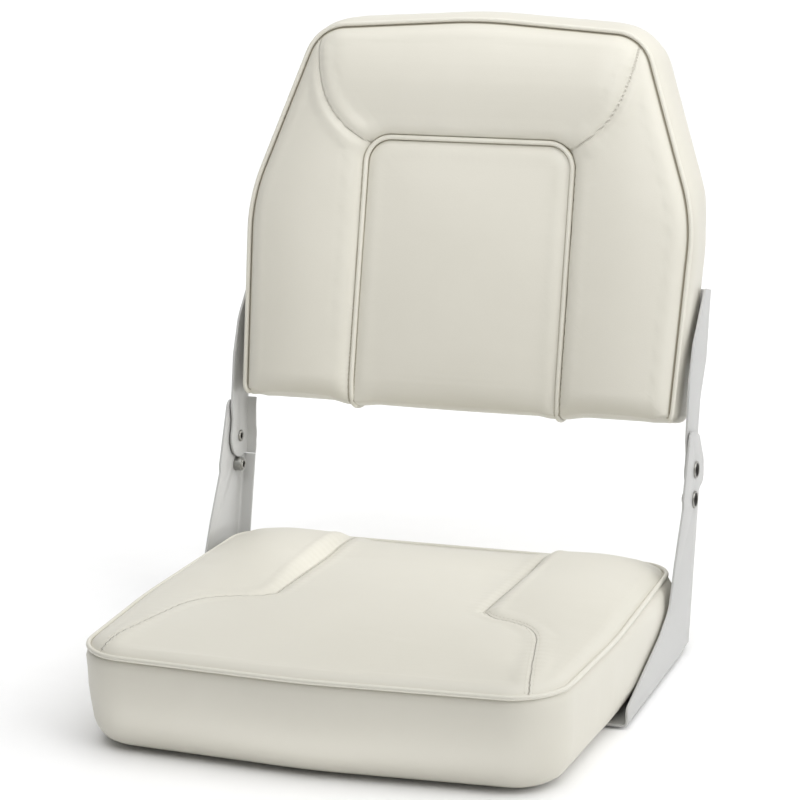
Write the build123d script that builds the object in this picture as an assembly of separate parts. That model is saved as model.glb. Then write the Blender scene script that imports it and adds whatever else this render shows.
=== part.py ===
from build123d import *
import math
import os

# Folding boat seat: a padded seat and a padded low back, joined at each side by a riveted
# pair of painted steel plates that lets the back fold down over the seat.
# Millimetres, +Z up, +Y towards the back. The origin is the centre of the four threaded
# inserts, on the underside of the seat board.

# Cuts run past the faces they open by this much
overrun = 1.0

# Overall stance
recline = 17.1
back_foot_y = 148.3
back_foot_z = 75.5

# Boards, vinyl and fits
board_thickness = 12.0
vinyl = 1.2
foam_gap = 0.5
welt_radius = 2.5
welt_play = 0.1
piping_sides = 8
seam_tuck = 3.0
seam_width = 6.0
seam_depth = 1.8

# Half the width of the seat at its widest, which the back and the hinges follow
cushion_half = 199.5

# Seat cushion plan, at the welt line
seat_depth = 350.0
seat_front_taper = 5.5
seat_rear_taper = 7.5
seat_bow = 11.0
seat_widest_share = 0.45
seat_front_corner = 44.0
seat_rear_corner = 30.0
seat_bow_radius = 500.0
seat_side_radius = 600.0
seat_height = 75.5
seat_fall = 11.0
seat_draw = 11.0
seat_crown = 11.0
seat_crown_run = 60.0
seat_hem = 34.0
least_corner = 12.0

# Seat side from the hem to the welt: share of the height, share of the draw it stands in by
seat_side_shares = ((0.0, 1.0), (0.1, 0.36), (0.28, -0.08), (0.58, -0.34), (0.88, -0.22))

# Rise of a crowned top: share of the crown height, share of its run from the seam
crown_shares = ((0.52, 0.14), (0.87, 0.45), (1.0, 1.0))

# Foam blocks: where their upright sides start and end, and how they meet the cover's top
core_foot_share = 0.28
core_head_share = 0.85
core_bevel = 14.0
core_roof = 1.6

# Seat side bolsters and the sunk panel between them
bolster_rise = 3.8
bolster_fall = 0.8
bolster_inner = 90.0
bolster_edge = 6.0
bolster_front_y = -18.0
bolster_heel_x = 124.0
bolster_heel_y = -26.0
bolster_elbow_x = 148.0
bolster_elbow_y = -56.0
bolster_toe_x = 157.0
bolster_toe_y = -112.0
bolster_run = 10.0
bolster_corner = 12.0
bolster_heel_corner = 30.0
pad_corner = 2.0
trough_half = 88.0
trough_depth = 9.0
trough_height = 24.0
trough_corner = 10.0

# Back cushion front, at the welt line, measured up the back from the seat's level
back_bottom = 118.5
back_bottom_taper = 10.0
back_shoulder = 284.0
back_shoulder_taper = 3.0
back_crest = 431.0
back_crest_taper = 55.0
back_top = 438.0
back_bottom_corner = 16.0
back_shoulder_radius = 150.0
back_crest_corner = 36.0
back_top_radius = 400.0
back_thickness = 50.0
back_draw = 5.0
back_crown = 12.0
back_crown_run = 42.0

# Back side from the rear panel to the welt
back_side_shares = ((0.0, 1.0), (0.12, -0.25), (0.42, -0.95), (0.78, -0.75))

# Centre panel of the back and its piping
panel_half = 91.5
panel_top = 340.5
panel_corner = 22.0
panel_floor = 2.0
panel_crown = 5.5
panel_run = 26.0
panel_roll = 13.0
piping_radius = 2.4
piping_play = 0.2

# How the bolsters roll down to the piping: share of the roll's rise, share of its spread
roll_shares = ((0.0, 0.0), (0.45, 0.14), (0.8, 0.48), (1.0, 1.0))

# Curved seams from the corners of the centre panel to the top corners of the back
crest_seam_mid_x = 122.0
crest_seam_mid = 362.0
crest_seam_end_x = 139.0
crest_seam_end = 416.0

# Hinge plates
plate = 1.8
bend_radius = 4.5
plate_gap = 1.6
bracket_gap = 1.36
pivot_rise = 78.5
pivot_set = 25.0
stop_drop = 24.5
stop_set = 2.0

# Lower bracket head, stem and foot, from the pivot along and square to the back
head_front = 23.0
head_rear = 28.0
head_top = 31.5
head_shoulder = 4.0
head_shoulder_drop = 9.0
head_chin_front = 31.0
head_chin = 26.0
head_corner = 8.0
chin_step = 7.0
chin_corner = 4.0
stem_rear = 19.0
stem_front = 29.5
stem_low_y = 132.5
stem_low_z = 84.0
gusset_top_y = 112.0
gusset_top_z = 49.0
gusset_top_corner = 22.0
gusset_low_y = 83.0
gusset_low_z = 36.5
gusset_low_corner = 60.0
foot_front_y = -14.0
foot_front_z = 12.0
foot_corner = 6.0
foot_rear_y = 152.0
knee_y = 170.0
foot_flange = 42.0
foot_flange_corner = 10.0
angle_leg = 9.0
stem_flange = 13.0
stem_flange_top = 15.0

# Upper arm, from the pivot along and square to the back
cam_clearance = 0.35
arm_rear = 19.0
arm_heel = 14.6
arm_heel_front = 8.0
arm_hip = 8.0
arm_waist = 12.0
arm_waist_low = 28.0
arm_waist_high = 60.0
arm_notch = 17.7
arm_notch_top = 13.0
arm_front = 22.0
arm_front_rise = 24.0
arm_breast = 25.0
arm_breast_rise = 70.0
arm_shoulder = 20.0
arm_shoulder_rise = 102.0
arm_top = 150.0
arm_tip = 6.0
arm_curve = 28.0
arm_corner = 5.0
arm_tab = 34.0
arm_tab_rise = 90.0
arm_lip = 8.0
arm_lip_top = 34.5

# Rivets, stop sleeve and pivot washer
pivot_shank = 4.0
stop_shank = 3.4
rivet_head = 7.2
rivet_head_height = 1.5
rivet_tail = 5.0
rivet_tail_height = 1.6
rivet_recess = 4.4
rivet_recess_depth = 1.1
running_gap = 0.05
face_gap = 0.1
washer_radius = 9.0
sleeve_radius = 6.0
sleeve_length = 6.5

# Threaded inserts under the seat, for a pedestal or swivel plate
insert_spacing = 127.0
insert_bore = 3.2
insert_barrel = 4.8
insert_flange = 11.0
insert_flange_height = 1.6

# Bracket screws into the seat board
screw_shank = 2.4
screw_head = 5.4
screw_head_height = 2.4
screw_sides = 6
screw_grip = 9.5
screw_inset = 10.5
screw_first_y = 8.0
screw_last_y = 128.0
screw_count = 3

# Arm screws into the back board
arm_screw_low = 105.0
arm_screw_high = 137.0
arm_screw_inset = 20.0
arm_screw_grip = 9.0

# Sizes that follow
half_depth = seat_depth / 2
seat_front_half = cushion_half - seat_front_taper
seat_rear_half = cushion_half - seat_rear_taper
back_bottom_half = cushion_half - back_bottom_taper
back_shoulder_half = cushion_half - back_shoulder_taper
back_crest_half = cushion_half - back_crest_taper
seat_tilt = -math.degrees(math.atan2(seat_fall, seat_depth))
welt_rise = seat_height - seat_fall / 2
foot_z = -vinyl - plate
side_bulge = -seat_draw * min(share for _, share in seat_side_shares)
bracket_inner = cushion_half + side_bulge + bracket_gap
bracket_outer = bracket_inner + plate
arm_outer = bracket_inner - plate_gap
arm_inner = arm_outer - plate
cam_radius = math.hypot(stop_drop, stop_set) - sleeve_radius - cam_clearance
screw_x = bracket_outer - foot_flange + screw_inset
arm_screw_x = arm_inner - arm_screw_inset

back_plane = Plane(
    origin=(0, back_foot_y, back_foot_z),
    x_dir=(1, 0, 0),
    z_dir=(0, -math.cos(math.radians(recline)), math.sin(math.radians(recline))),
)
# Hinge outlines are drawn from the pivot: first square to the back, rearwards, then up it
pivot_point = back_plane.from_local_coords((0, pivot_rise, -pivot_set))
hinge_plane = Plane(
    origin=(0, pivot_point.Y, pivot_point.Z),
    x_dir=(0, math.cos(math.radians(recline)), -math.sin(math.radians(recline))),
    z_dir=(1, 0, 0),
)


def save(node, shape):
    """Write one sub-part."""
    export_step(shape, f"parts/{node}.step")


def mirrored_corners(right_half):
    """Close a plan outline, given anticlockwise, by its mirror image across X = 0."""
    left_half = [(-x, y) for x, y in reversed(right_half) if x > 0]
    return right_half + left_half


def outline(corners, radii, inset=0.0, least=least_corner):
    """A face with rounded corners, each side moved inwards by the inset."""
    moved = []
    kept_radii = []
    count = len(corners)
    for index, corner in enumerate(corners):
        here = Vector(*corner)
        coming = (here - Vector(*corners[index - 1])).normalized()
        going = (Vector(*corners[(index + 1) % count]) - here).normalized()
        inward_one = Vector(-coming.Y, coming.X)
        inward_two = Vector(-going.Y, going.X)
        shift = (inward_one + inward_two) * (inset / (1 + inward_one.dot(inward_two)))
        moved.append(here + shift)
        hollow = coming.X * going.Y < coming.Y * going.X
        kept_radii.append(max(radii[index] + (inset if hollow else -inset), least))
    return make_face(FilletPolyline(*moved, radius=kept_radii, close=True))


def tilted_plane(height, tilt):
    """A plane across the cushion at this height, turned about X by the tilt."""
    turn = math.radians(tilt)
    return Plane(origin=(0, 0, height), x_dir=(1, 0, 0), z_dir=(0, -math.sin(turn), math.cos(turn)))


def cushion_form(corners, radii, height, draw, side_shares, crown, crown_run, tilt):
    """Drawn-in sides up to the welt seam and a crowned top over it."""
    sides = []
    for height_share, draw_share in side_shares:
        section = outline(corners, radii, draw * draw_share)
        sides.append(tilted_plane(height * height_share, tilt * height_share) * section)
    seam = tilted_plane(height, tilt) * outline(corners, radii, seam_tuck)
    sides.append(seam)
    top = [seam]
    for rise_share, run_share in crown_shares:
        section = outline(corners, radii, seam_tuck + crown_run * run_share)
        top.append(tilted_plane(height + crown * rise_share, tilt) * section)
    return loft(sides, ruled=True) + loft(top, ruled=True)


def core_form(corners, radii, height, draw, tilt, shrink):
    """The plain foam block's shape under the cover's padded top, smaller all round by the shrink."""
    sections = []
    for height_share, inset in ((0.0, draw), (core_foot_share, 0.0), (core_head_share, 0.0)):
        section = outline(corners, radii, inset + shrink)
        sections.append(tilted_plane(height * height_share, tilt * height_share) * section)
    section = outline(corners, radii, core_bevel + shrink)
    sections.append(tilted_plane(height + core_roof - shrink, tilt) * section)
    return loft(sections, ruled=True)


def welt_ring(corners, radii, plane, radius=welt_radius):
    """Piping laid in the tucked seam between side and top."""
    path = (plane * outline(corners, radii)).face().outer_wire()
    start = path @ 0
    return sweep(Plane(origin=start, z_dir=path % 0) * RegularPolygon(radius, piping_sides), path=path)


def screw(head_radius, head_height, shank_radius, length):
    """Hexagon-headed screw standing on its head's seat, with the shank up +Z."""
    head = Pos(0, 0, -head_height) * extrude(RegularPolygon(head_radius, screw_sides), head_height)
    return head + Cylinder(shank_radius, length, align=(Align.CENTER, Align.CENTER, Align.MIN))


def angle_section(web_leg, flange_leg, corner):
    """Section of a bent plate: the web up +Y from the outer corner, the flange along -X."""
    points = [
        (0, 0),
        (0, web_leg),
        (-plate, web_leg),
        (-plate, plate),
        (-flange_leg, plate),
        (-flange_leg, 0),
    ]
    section = make_face(Polyline(*points, close=True))
    outer = section.vertices().sort_by_distance((0, 0))[0]
    section = fillet(outer, corner)
    inner = section.vertices().sort_by_distance((-plate, plate))[0]
    return fillet(inner, corner - plate)


# Seat cushion

seat_corners = mirrored_corners(
    [
        (0, -half_depth),
        (seat_front_half, -half_depth + seat_bow),
        (cushion_half, seat_depth * seat_widest_share - half_depth),
        (seat_rear_half, half_depth),
    ]
)
seat_radii = [
    seat_bow_radius,
    seat_front_corner,
    seat_side_radius,
    seat_rear_corner,
    seat_rear_corner,
    seat_side_radius,
    seat_front_corner,
]


def bolster_pad(side):
    """Raised pad beside the sunk panel, with the curved front that meets the thigh roll."""
    outer = seat_rear_half - bolster_edge
    corners = [
        (bolster_inner, bolster_front_y),
        (bolster_heel_x, bolster_heel_y),
        (bolster_elbow_x, bolster_elbow_y),
        (bolster_toe_x, bolster_toe_y),
        (outer, bolster_toe_y),
        (outer, half_depth - bolster_edge),
        (bolster_inner, half_depth - bolster_edge),
    ]
    radii = [
        bolster_corner,
        bolster_heel_corner,
        bolster_heel_corner,
        bolster_corner,
        bolster_corner,
        bolster_corner + bolster_edge,
        bolster_corner,
    ]
    base = welt_rise + seat_crown * crown_shares[0][0]
    rise = seat_crown + bolster_rise - seat_crown * crown_shares[0][0]
    sections = [tilted_plane(base, seat_tilt) * outline(corners, radii, 0.0, pad_corner)]
    for rise_share, run_share in crown_shares:
        section = outline(corners, radii, bolster_run * run_share, pad_corner)
        tilt = seat_tilt - bolster_fall * rise_share
        sections.append(tilted_plane(base + rise * rise_share, tilt) * section)
    pad = loft(sections, ruled=True)
    return pad if side > 0 else mirror(pad, about=Plane.YZ)


def seat_form():
    """The padded seat's outer form."""
    form = cushion_form(
        seat_corners,
        seat_radii,
        welt_rise,
        seat_draw,
        seat_side_shares,
        seat_crown,
        seat_crown_run,
        seat_tilt,
    )
    for side in (1, -1):
        form += bolster_pad(side)
    floor = welt_rise + seat_crown
    section = RectangleRounded(trough_half * 2, trough_height * 2, trough_corner)
    ends = []
    for y, z in (
        (bolster_front_y, floor + trough_height),
        (half_depth + seat_draw, floor + trough_height - trough_depth),
    ):
        ends.append(Plane(origin=(0, y, z), x_dir=(1, 0, 0), z_dir=(0, -1, 0)) * section)
    return form - Rot(seat_tilt, 0, 0) * loft(ends, ruled=True)


def pilot_hole(depth):
    """Six-sided hole that clears a screw's shank, as deep on both sides of its place."""
    section = RegularPolygon(screw_shank + running_gap, screw_sides, major_radius=False)
    return extrude(section, depth, both=True)


def insert_places():
    """Centres of the four threaded inserts."""
    return GridLocations(insert_spacing, insert_spacing, 2, 2)


def bracket_screw_places(side):
    """Centres of the screws that hold one bracket to the seat board."""
    step = (screw_last_y - screw_first_y) / (screw_count - 1)
    return [Pos(side * screw_x, screw_first_y + step * index, 0) for index in range(screw_count)]


def make_seat_cushion():
    """Board, foam, sewn cover and welt of the seat."""
    board_inset = seat_draw + vinyl + foam_gap
    board = extrude(outline(seat_corners, seat_radii, board_inset), board_thickness)
    for place in insert_places():
        board -= place * Cylinder(insert_barrel + running_gap, board_thickness * 2 + overrun)
    for side in (1, -1):
        for place in bracket_screw_places(side):
            board -= place * pilot_hole(screw_grip)
    save("seat_board", board)

    foam = core_form(seat_corners, seat_radii, welt_rise, seat_draw, seat_tilt, vinyl + foam_gap)
    under = Box(seat_depth * 2, seat_depth * 2, board_thickness * 2)
    foam -= under
    pocket = RegularPolygon(insert_flange + foam_gap, piping_sides)
    pocket = extrude(pocket, board_thickness + insert_flange_height + foam_gap)
    for place in insert_places():
        foam -= place * pocket
    save("seat_foam", foam)

    outer = seat_form()
    hem_section = outline(seat_corners, seat_radii, seat_draw)
    outer += Pos(0, 0, -vinyl) * extrude(hem_section, vinyl)
    cover = outer - core_form(seat_corners, seat_radii, welt_rise, seat_draw, seat_tilt, vinyl)
    window = outline(seat_corners, seat_radii, seat_draw + seat_hem)
    cover -= Pos(0, 0, -vinyl - overrun) * extrude(window, vinyl + overrun * 2)
    for side in (1, -1):
        for place in bracket_screw_places(side):
            cover -= place * pilot_hole(vinyl + overrun)
    seam_plane = tilted_plane(welt_rise, seat_tilt)
    cover -= welt_ring(seat_corners, seat_radii, seam_plane, welt_radius + welt_play)
    save("seat_cover", cover)
    save("seat_welt", welt_ring(seat_corners, seat_radii, seam_plane))


def make_inserts():
    """Flanged threaded inserts, pressed down through the board from above."""
    body = Cylinder(insert_barrel, board_thickness, align=(Align.CENTER, Align.CENTER, Align.MAX))
    body += extrude(RegularPolygon(insert_flange, piping_sides), insert_flange_height)
    body -= Cylinder(insert_bore, (board_thickness + overrun) * 2)
    inserts = [place * Pos(0, 0, board_thickness) * body for place in insert_places()]
    save("seat_threaded_inserts", Compound(children=inserts))


# Back cushion

back_corners = mirrored_corners(
    [
        (back_bottom_half, back_bottom),
        (back_shoulder_half, back_shoulder),
        (back_crest_half, back_crest),
    ]
)
back_corners.insert(3, (0, back_top))
back_radii = [
    back_bottom_corner,
    back_shoulder_radius,
    back_crest_corner,
    back_top_radius,
    back_crest_corner,
    back_shoulder_radius,
    back_bottom_corner,
]


def panel_outline(inset, foot):
    """Centre panel's outline; its foot stays at the given height whatever the inset."""
    half = panel_half - inset
    top = panel_top - inset
    corner = max(panel_corner - inset, least_corner)
    points = [(-half, foot), (half, foot), (half, top), (-half, top)]
    return make_face(FilletPolyline(*points, radius=[0, 0, corner, corner], close=True))


def back_form():
    """The padded back's outer form, standing on its rear face."""
    form = cushion_form(
        back_corners,
        back_radii,
        back_thickness,
        back_draw,
        back_side_shares,
        back_crown,
        back_crown_run,
        0.0,
    )
    floor = back_thickness + panel_floor
    rise = back_crown - panel_floor + overrun
    below = back_bottom - back_draw - overrun
    pocket = []
    for rise_share, spread_share in roll_shares:
        section = panel_outline(-welt_radius - panel_roll * spread_share, below)
        pocket.append(Pos(0, 0, floor + rise * rise_share) * section)
    form -= loft(pocket, ruled=True)
    pad = [Pos(0, 0, floor - overrun) * panel_outline(piping_radius, back_bottom + seam_tuck)]
    for rise_share, run_share in crown_shares:
        inset = piping_radius + panel_run * run_share
        foot = back_bottom + seam_tuck + back_crown_run * run_share / 2
        pad.append(Pos(0, 0, floor + panel_crown * rise_share) * panel_outline(inset, foot))
    form += loft(pad, ruled=True)
    for side in (1, -1):
        form -= crest_seam(side)
    return form


def crest_seam(side):
    """Sewn channel between the head roll and one side bolster."""
    start = (side * (panel_half - panel_corner / 4), panel_top - panel_corner / 4)
    middle = (side * crest_seam_mid_x, crest_seam_mid)
    end = (side * crest_seam_end_x, crest_seam_end)
    path = ThreePointArc(start, middle, end)
    lift = back_thickness + back_crown + seam_width / 2 - seam_depth
    path = Pos(0, 0, lift) * path
    profile = Plane(origin=path @ 0, z_dir=path % 0) * RegularPolygon(seam_width / 2, piping_sides)
    return sweep(profile, path=path)


def arm_screw_places(side):
    """Centres of the screws that hold one arm to the back board, on the rear face."""
    places = []
    for rise in (arm_screw_low, arm_screw_high):
        places.append(Pos(side * arm_screw_x, pivot_rise + rise, -back_thickness))
    return places


def make_back_cushion():
    """Board, foam, sewn cover, rear panel, welt and centre piping of the back."""
    board_inset = back_draw + vinyl + foam_gap
    board_face = outline(back_corners, back_radii, board_inset)
    board = Pos(0, 0, vinyl - back_thickness) * extrude(board_face, board_thickness)
    for side in (1, -1):
        for place in arm_screw_places(side):
            board -= place * pilot_hole(arm_screw_grip + vinyl)
    save("back_board", back_plane * board)

    foam = core_form(back_corners, back_radii, back_thickness, back_draw, 0.0, vinyl + foam_gap)
    foam -= Box(back_top * 3, back_top * 3, (board_thickness + vinyl) * 2)
    save("back_foam", back_plane * (Pos(0, 0, -back_thickness) * foam))

    cover = back_form()
    cover -= core_form(back_corners, back_radii, back_thickness, back_draw, 0.0, vinyl)
    cover = Pos(0, 0, -back_thickness) * cover
    cover -= welt_ring(back_corners, back_radii, Plane.XY, welt_radius + welt_play)
    save("back_cover", back_plane * cover)

    panel = outline(back_corners, back_radii, back_draw + vinyl + foam_gap)
    rear_panel = Pos(0, 0, -back_thickness) * extrude(panel, vinyl)
    for side in (1, -1):
        for place in arm_screw_places(side):
            rear_panel -= place * pilot_hole(vinyl + overrun)
    save("back_rear_panel", back_plane * rear_panel)
    save("back_welt", back_plane * welt_ring(back_corners, back_radii, Plane.XY))

    foot = back_bottom + welt_radius + piping_play
    points = [(-panel_half, foot), (-panel_half, panel_top), (panel_half, panel_top), (panel_half, foot)]
    path = FilletPolyline(*points, radius=panel_corner)
    path = Pos(0, 0, panel_floor + piping_radius + piping_play) * path
    section = Plane(origin=path @ 0, z_dir=path % 0) * RegularPolygon(piping_radius, piping_sides)
    piping = sweep(section, path=path)
    save("back_center_piping", back_plane * piping)


# Hinges

def hinge_outline(points, radii):
    """A plate outline in the hinge plane with rounded corners."""
    return make_face(FilletPolyline(*points, radius=radii, close=True))


def hinge_local(y, z):
    """A place of the part's own Y and Z, in the hinge plane."""
    place = hinge_plane.to_local_coords(Vector(0, y, z))
    return (place.X, place.Y)


def plate_blank(face, inner_face):
    """A flat plate of the bracket or arm, from its inner face outwards."""
    return Pos(inner_face, 0, 0) * extrude(hinge_plane * face, plate)


def upright_angle(section, outer_face, rear_face, top, bottom):
    """A bent edge running down the hinge plane, its web leg forwards of the rear face."""
    start = hinge_plane.from_local_coords((rear_face, top, 0))
    frame = Plane(
        origin=(outer_face, start.Y, start.Z),
        x_dir=(1, 0, 0),
        z_dir=-hinge_plane.y_dir,
    )
    return extrude(frame * section, top - bottom)


def make_lower_bracket():
    """Right lower bracket: head, stem with its rear flange, gusset and foot under the seat."""
    foot_line = foot_z + bend_radius
    stem_edge = stem_rear - bend_radius
    knee = hinge_local(knee_y, foot_line)
    points = [
        (-head_front, head_top),
        (-head_chin_front, -head_chin),
        (-stem_front, -head_chin - chin_step),
        hinge_local(stem_low_y, stem_low_z),
        hinge_local(gusset_top_y, gusset_top_z),
        hinge_local(gusset_low_y, gusset_low_z),
        hinge_local(foot_front_y, foot_front_z),
        hinge_local(foot_front_y, foot_line),
        hinge_local(foot_rear_y, foot_line),
        (stem_edge, knee[1]),
        (stem_edge, -stem_flange_top),
        (head_rear, -head_shoulder_drop),
        (head_rear - head_shoulder, head_shoulder_drop),
        (head_shoulder, head_top - head_shoulder / 2),
    ]
    radii = [
        head_corner,
        chin_corner,
        chin_corner,
        gusset_top_corner,
        gusset_top_corner,
        gusset_low_corner,
        foot_corner,
        0,
        0,
        0,
        head_corner,
        head_corner,
        head_corner,
        head_corner,
    ]
    web = plate_blank(hinge_outline(points, radii), bracket_inner)

    foot_section = angle_section(angle_leg, foot_flange, bend_radius)
    foot_frame = Plane(origin=(bracket_outer, foot_rear_y, foot_z), x_dir=(1, 0, 0), z_dir=(0, -1, 0))
    foot = extrude(foot_frame * foot_section, foot_rear_y - foot_front_y)
    inner_edges = foot.edges().filter_by(Axis.Z).group_by(Axis.X)[0]
    foot = fillet(inner_edges, foot_flange_corner)

    stem_section = angle_section(angle_leg, stem_flange, bend_radius)
    stem_angle = upright_angle(stem_section, bracket_outer, stem_rear, -stem_flange_top, knee[1])
    bracket = web + foot + stem_angle
    for rise, set_back, radius in (
        (0.0, 0.0, pivot_shank),
        (-stop_drop, stop_set, stop_shank),
    ):
        hole = Cylinder(radius + running_gap, plate * 3)
        place = hinge_plane.from_local_coords((set_back, rise, bracket_inner))
        bracket -= Pos(place.X, place.Y, place.Z) * Rot(0, 90, 0) * hole
    for place in bracket_screw_places(1):
        bracket -= place * Cylinder(screw_shank + running_gap, (vinyl + plate + overrun) * 2)
    return bracket


def make_upper_arm():
    """Right upper arm: a round foot whose lip lands on the bracket, a waist and a rear tab."""
    tab_rear = back_thickness - pivot_set + plate
    points = [
        (arm_heel_front, 0),
        (arm_heel_front, -arm_heel),
        (arm_rear, -arm_heel),
        (arm_rear, -arm_hip),
        (arm_waist, arm_waist_low),
        (arm_waist, arm_waist_high),
        (tab_rear - bend_radius, arm_tab_rise),
        (tab_rear - bend_radius, arm_top),
        (arm_tip, arm_top),
        (-arm_shoulder, arm_shoulder_rise),
        (-arm_breast, arm_breast_rise),
        (-arm_front, arm_front_rise),
        (-arm_notch, arm_notch_top),
        (-arm_notch, 0),
    ]
    radii = [
        0,
        0,
        0,
        arm_corner / 2,
        arm_curve,
        arm_curve,
        arm_corner,
        0,
        arm_corner,
        arm_curve,
        arm_curve,
        arm_corner,
        arm_corner,
        0,
    ]
    face = hinge_outline(points, radii) + Circle(cam_radius)
    web = plate_blank(face, arm_inner)

    tab_section = angle_section(angle_leg, arm_tab, bend_radius)
    tab = upright_angle(tab_section, arm_outer, tab_rear, arm_top, arm_tab_rise)

    lip_face = face - Pos(-plate, 0, 0) * face
    keep = [
        (arm_waist - plate * 2, -arm_heel),
        (arm_rear + plate, -arm_heel),
        (arm_rear + plate, arm_lip_top),
        (arm_waist - plate * 2, arm_lip_top),
    ]
    lip_face &= make_face(Polyline(*keep, close=True))
    lip = Pos(arm_inner - arm_lip, 0, 0) * extrude(hinge_plane * lip_face, arm_lip + plate / 2)
    arm = web + tab + lip
    hole = Cylinder(pivot_shank + running_gap, plate * 3)
    place = hinge_plane.from_local_coords((0, 0, arm_inner))
    arm -= Pos(place.X, place.Y, place.Z) * Rot(0, 90, 0) * hole
    for place in arm_screw_places(1):
        hole = Cylinder(screw_shank + running_gap, (plate + overrun) * 2)
        arm -= back_plane * (place * hole)
    return arm


def hinge_place(rise, set_back, x):
    """A frame on the hinge's cross axis, with +Z pointing outwards along +X."""
    place = hinge_plane.from_local_coords((set_back, rise, x))
    return Pos(place.X, place.Y, place.Z) * Rot(0, 90, 0)


def rivet(shank_radius, grip):
    """Tubular rivet along +Z: dished head outside at the top, rolled tail inside at the foot."""
    up = (Align.CENTER, Align.CENTER, Align.MIN)
    body = Cylinder(shank_radius, grip, align=up)
    body += Pos(0, 0, grip) * Cylinder(rivet_head, rivet_head_height, align=up)
    body += Pos(0, 0, -rivet_tail_height) * Cylinder(rivet_tail, rivet_tail_height, align=up)
    recess = Cylinder(rivet_recess, rivet_recess_depth + overrun, align=up)
    return body - Pos(0, 0, grip + rivet_head_height - rivet_recess_depth) * recess


def make_hinge_hardware():
    """Pivot rivet, its washer, the stop rivet and its sleeve, for the right side."""
    pivot_grip = bracket_outer - arm_inner + face_gap
    pivot = hinge_place(0.0, 0.0, arm_inner - face_gap) * rivet(pivot_shank, pivot_grip)
    washer = Cylinder(washer_radius, plate_gap - face_gap, align=(Align.CENTER, Align.CENTER, Align.MAX))
    washer -= Cylinder(pivot_shank + running_gap, plate * 3)
    washer = hinge_place(0.0, 0.0, bracket_inner) * washer
    sleeve_inner = bracket_inner - sleeve_length
    stop_rivet = hinge_place(-stop_drop, stop_set, sleeve_inner) * rivet(
        stop_shank, sleeve_length + plate
    )
    sleeve = Cylinder(sleeve_radius, sleeve_length, align=(Align.CENTER, Align.CENTER, Align.MIN))
    sleeve -= Cylinder(stop_shank + running_gap, sleeve_length * 3)
    sleeve = hinge_place(-stop_drop, stop_set, sleeve_inner) * sleeve
    return {
        "pivot_rivet": pivot,
        "pivot_washer": washer,
        "stop_rivet": stop_rivet,
        "stop_sleeve": sleeve,
    }


def make_screws():
    """Screws of the right bracket, from below, and of the right arm, from behind."""
    bracket_screws = []
    length = plate + vinyl + screw_grip - overrun
    for place in bracket_screw_places(1):
        bracket_screws.append(
            place * Pos(0, 0, foot_z) * screw(screw_head, screw_head_height, screw_shank, length)
        )
    arm_screws = []
    length = plate + vinyl + arm_screw_grip - overrun
    for place in arm_screw_places(1):
        arm_screws.append(
            back_plane
            * (place * Pos(0, 0, -plate) * screw(screw_head, screw_head_height, screw_shank, length))
        )
    return {
        "bracket_screws": Compound(children=bracket_screws),
        "arm_screws": Compound(children=arm_screws),
    }


os.makedirs("parts", exist_ok=True)
make_seat_cushion()
make_inserts()
make_back_cushion()
sided = {"lower_bracket": make_lower_bracket(), "upper_arm": make_upper_arm()}
sided.update(make_hinge_hardware())
sided.update(make_screws())
for name, right_piece in sided.items():
    save(name + "_right", right_piece)
    save(name + "_left", mirror(right_piece, about=Plane.YZ))
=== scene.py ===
"""Dresses the folding boat seat: sewn marine vinyl, piping, painted brackets and their rivets."""

import math

import bmesh
import bpy
import numpy as np
from mathutils import Matrix, Vector
from mathutils.kdtree import KDTree


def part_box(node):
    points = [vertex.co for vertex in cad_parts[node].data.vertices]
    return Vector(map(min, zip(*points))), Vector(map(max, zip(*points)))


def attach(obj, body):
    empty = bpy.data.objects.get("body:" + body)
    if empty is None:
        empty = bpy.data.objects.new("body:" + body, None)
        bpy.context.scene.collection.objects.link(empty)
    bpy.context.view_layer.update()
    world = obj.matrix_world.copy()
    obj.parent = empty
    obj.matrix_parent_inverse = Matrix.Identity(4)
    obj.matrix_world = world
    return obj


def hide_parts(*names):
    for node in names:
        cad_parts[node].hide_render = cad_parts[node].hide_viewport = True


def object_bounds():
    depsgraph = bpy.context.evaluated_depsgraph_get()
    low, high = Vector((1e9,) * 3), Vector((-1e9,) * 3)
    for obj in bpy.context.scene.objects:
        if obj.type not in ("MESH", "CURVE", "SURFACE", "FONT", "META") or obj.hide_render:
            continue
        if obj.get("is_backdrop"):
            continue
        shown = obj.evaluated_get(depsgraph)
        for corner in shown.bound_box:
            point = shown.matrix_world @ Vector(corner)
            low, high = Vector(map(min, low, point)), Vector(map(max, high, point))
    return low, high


bl_info = {
    "name": "Folding Boat Seat",
    "version": (1, 0, 0),
    "blender": (4, 5, 0),
    "location": "3D View > Sidebar > Boat Seat",
    "description": "Builds the cushions, piping, stitching and hardware of a folding boat seat",
    "category": "Add Mesh",
}

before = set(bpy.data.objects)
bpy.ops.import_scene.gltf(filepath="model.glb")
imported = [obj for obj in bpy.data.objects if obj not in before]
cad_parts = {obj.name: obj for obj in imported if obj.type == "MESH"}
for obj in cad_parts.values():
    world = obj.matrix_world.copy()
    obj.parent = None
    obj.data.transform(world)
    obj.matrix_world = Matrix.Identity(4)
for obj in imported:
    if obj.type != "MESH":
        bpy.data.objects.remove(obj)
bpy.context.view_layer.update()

MM = 0.001

# A distance from a seam or piping, for places that have none near, in millimetres
FAR = 99.0

# Rounded outlines: points on each corner, steps along a side, the least radius, in millimetres
ARC_POINTS = 22
SIDE_STEP = 4.0
LEAST_RADIUS = 4.0
SPLINE_STEPS = 24

# Seat cushion outline, millimetres in the frame's X and Y, right half from the front centre
SEAT_HALF = [(0, -175), (194, -164), (199.5, -17.5), (192, 175)]
SEAT_RADII = [500, 44, 600, 30, 30, 600, 44]
SEAT_WELT_HEIGHT = 70.0
SEAT_FALL = 11.0 / 350.0
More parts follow.
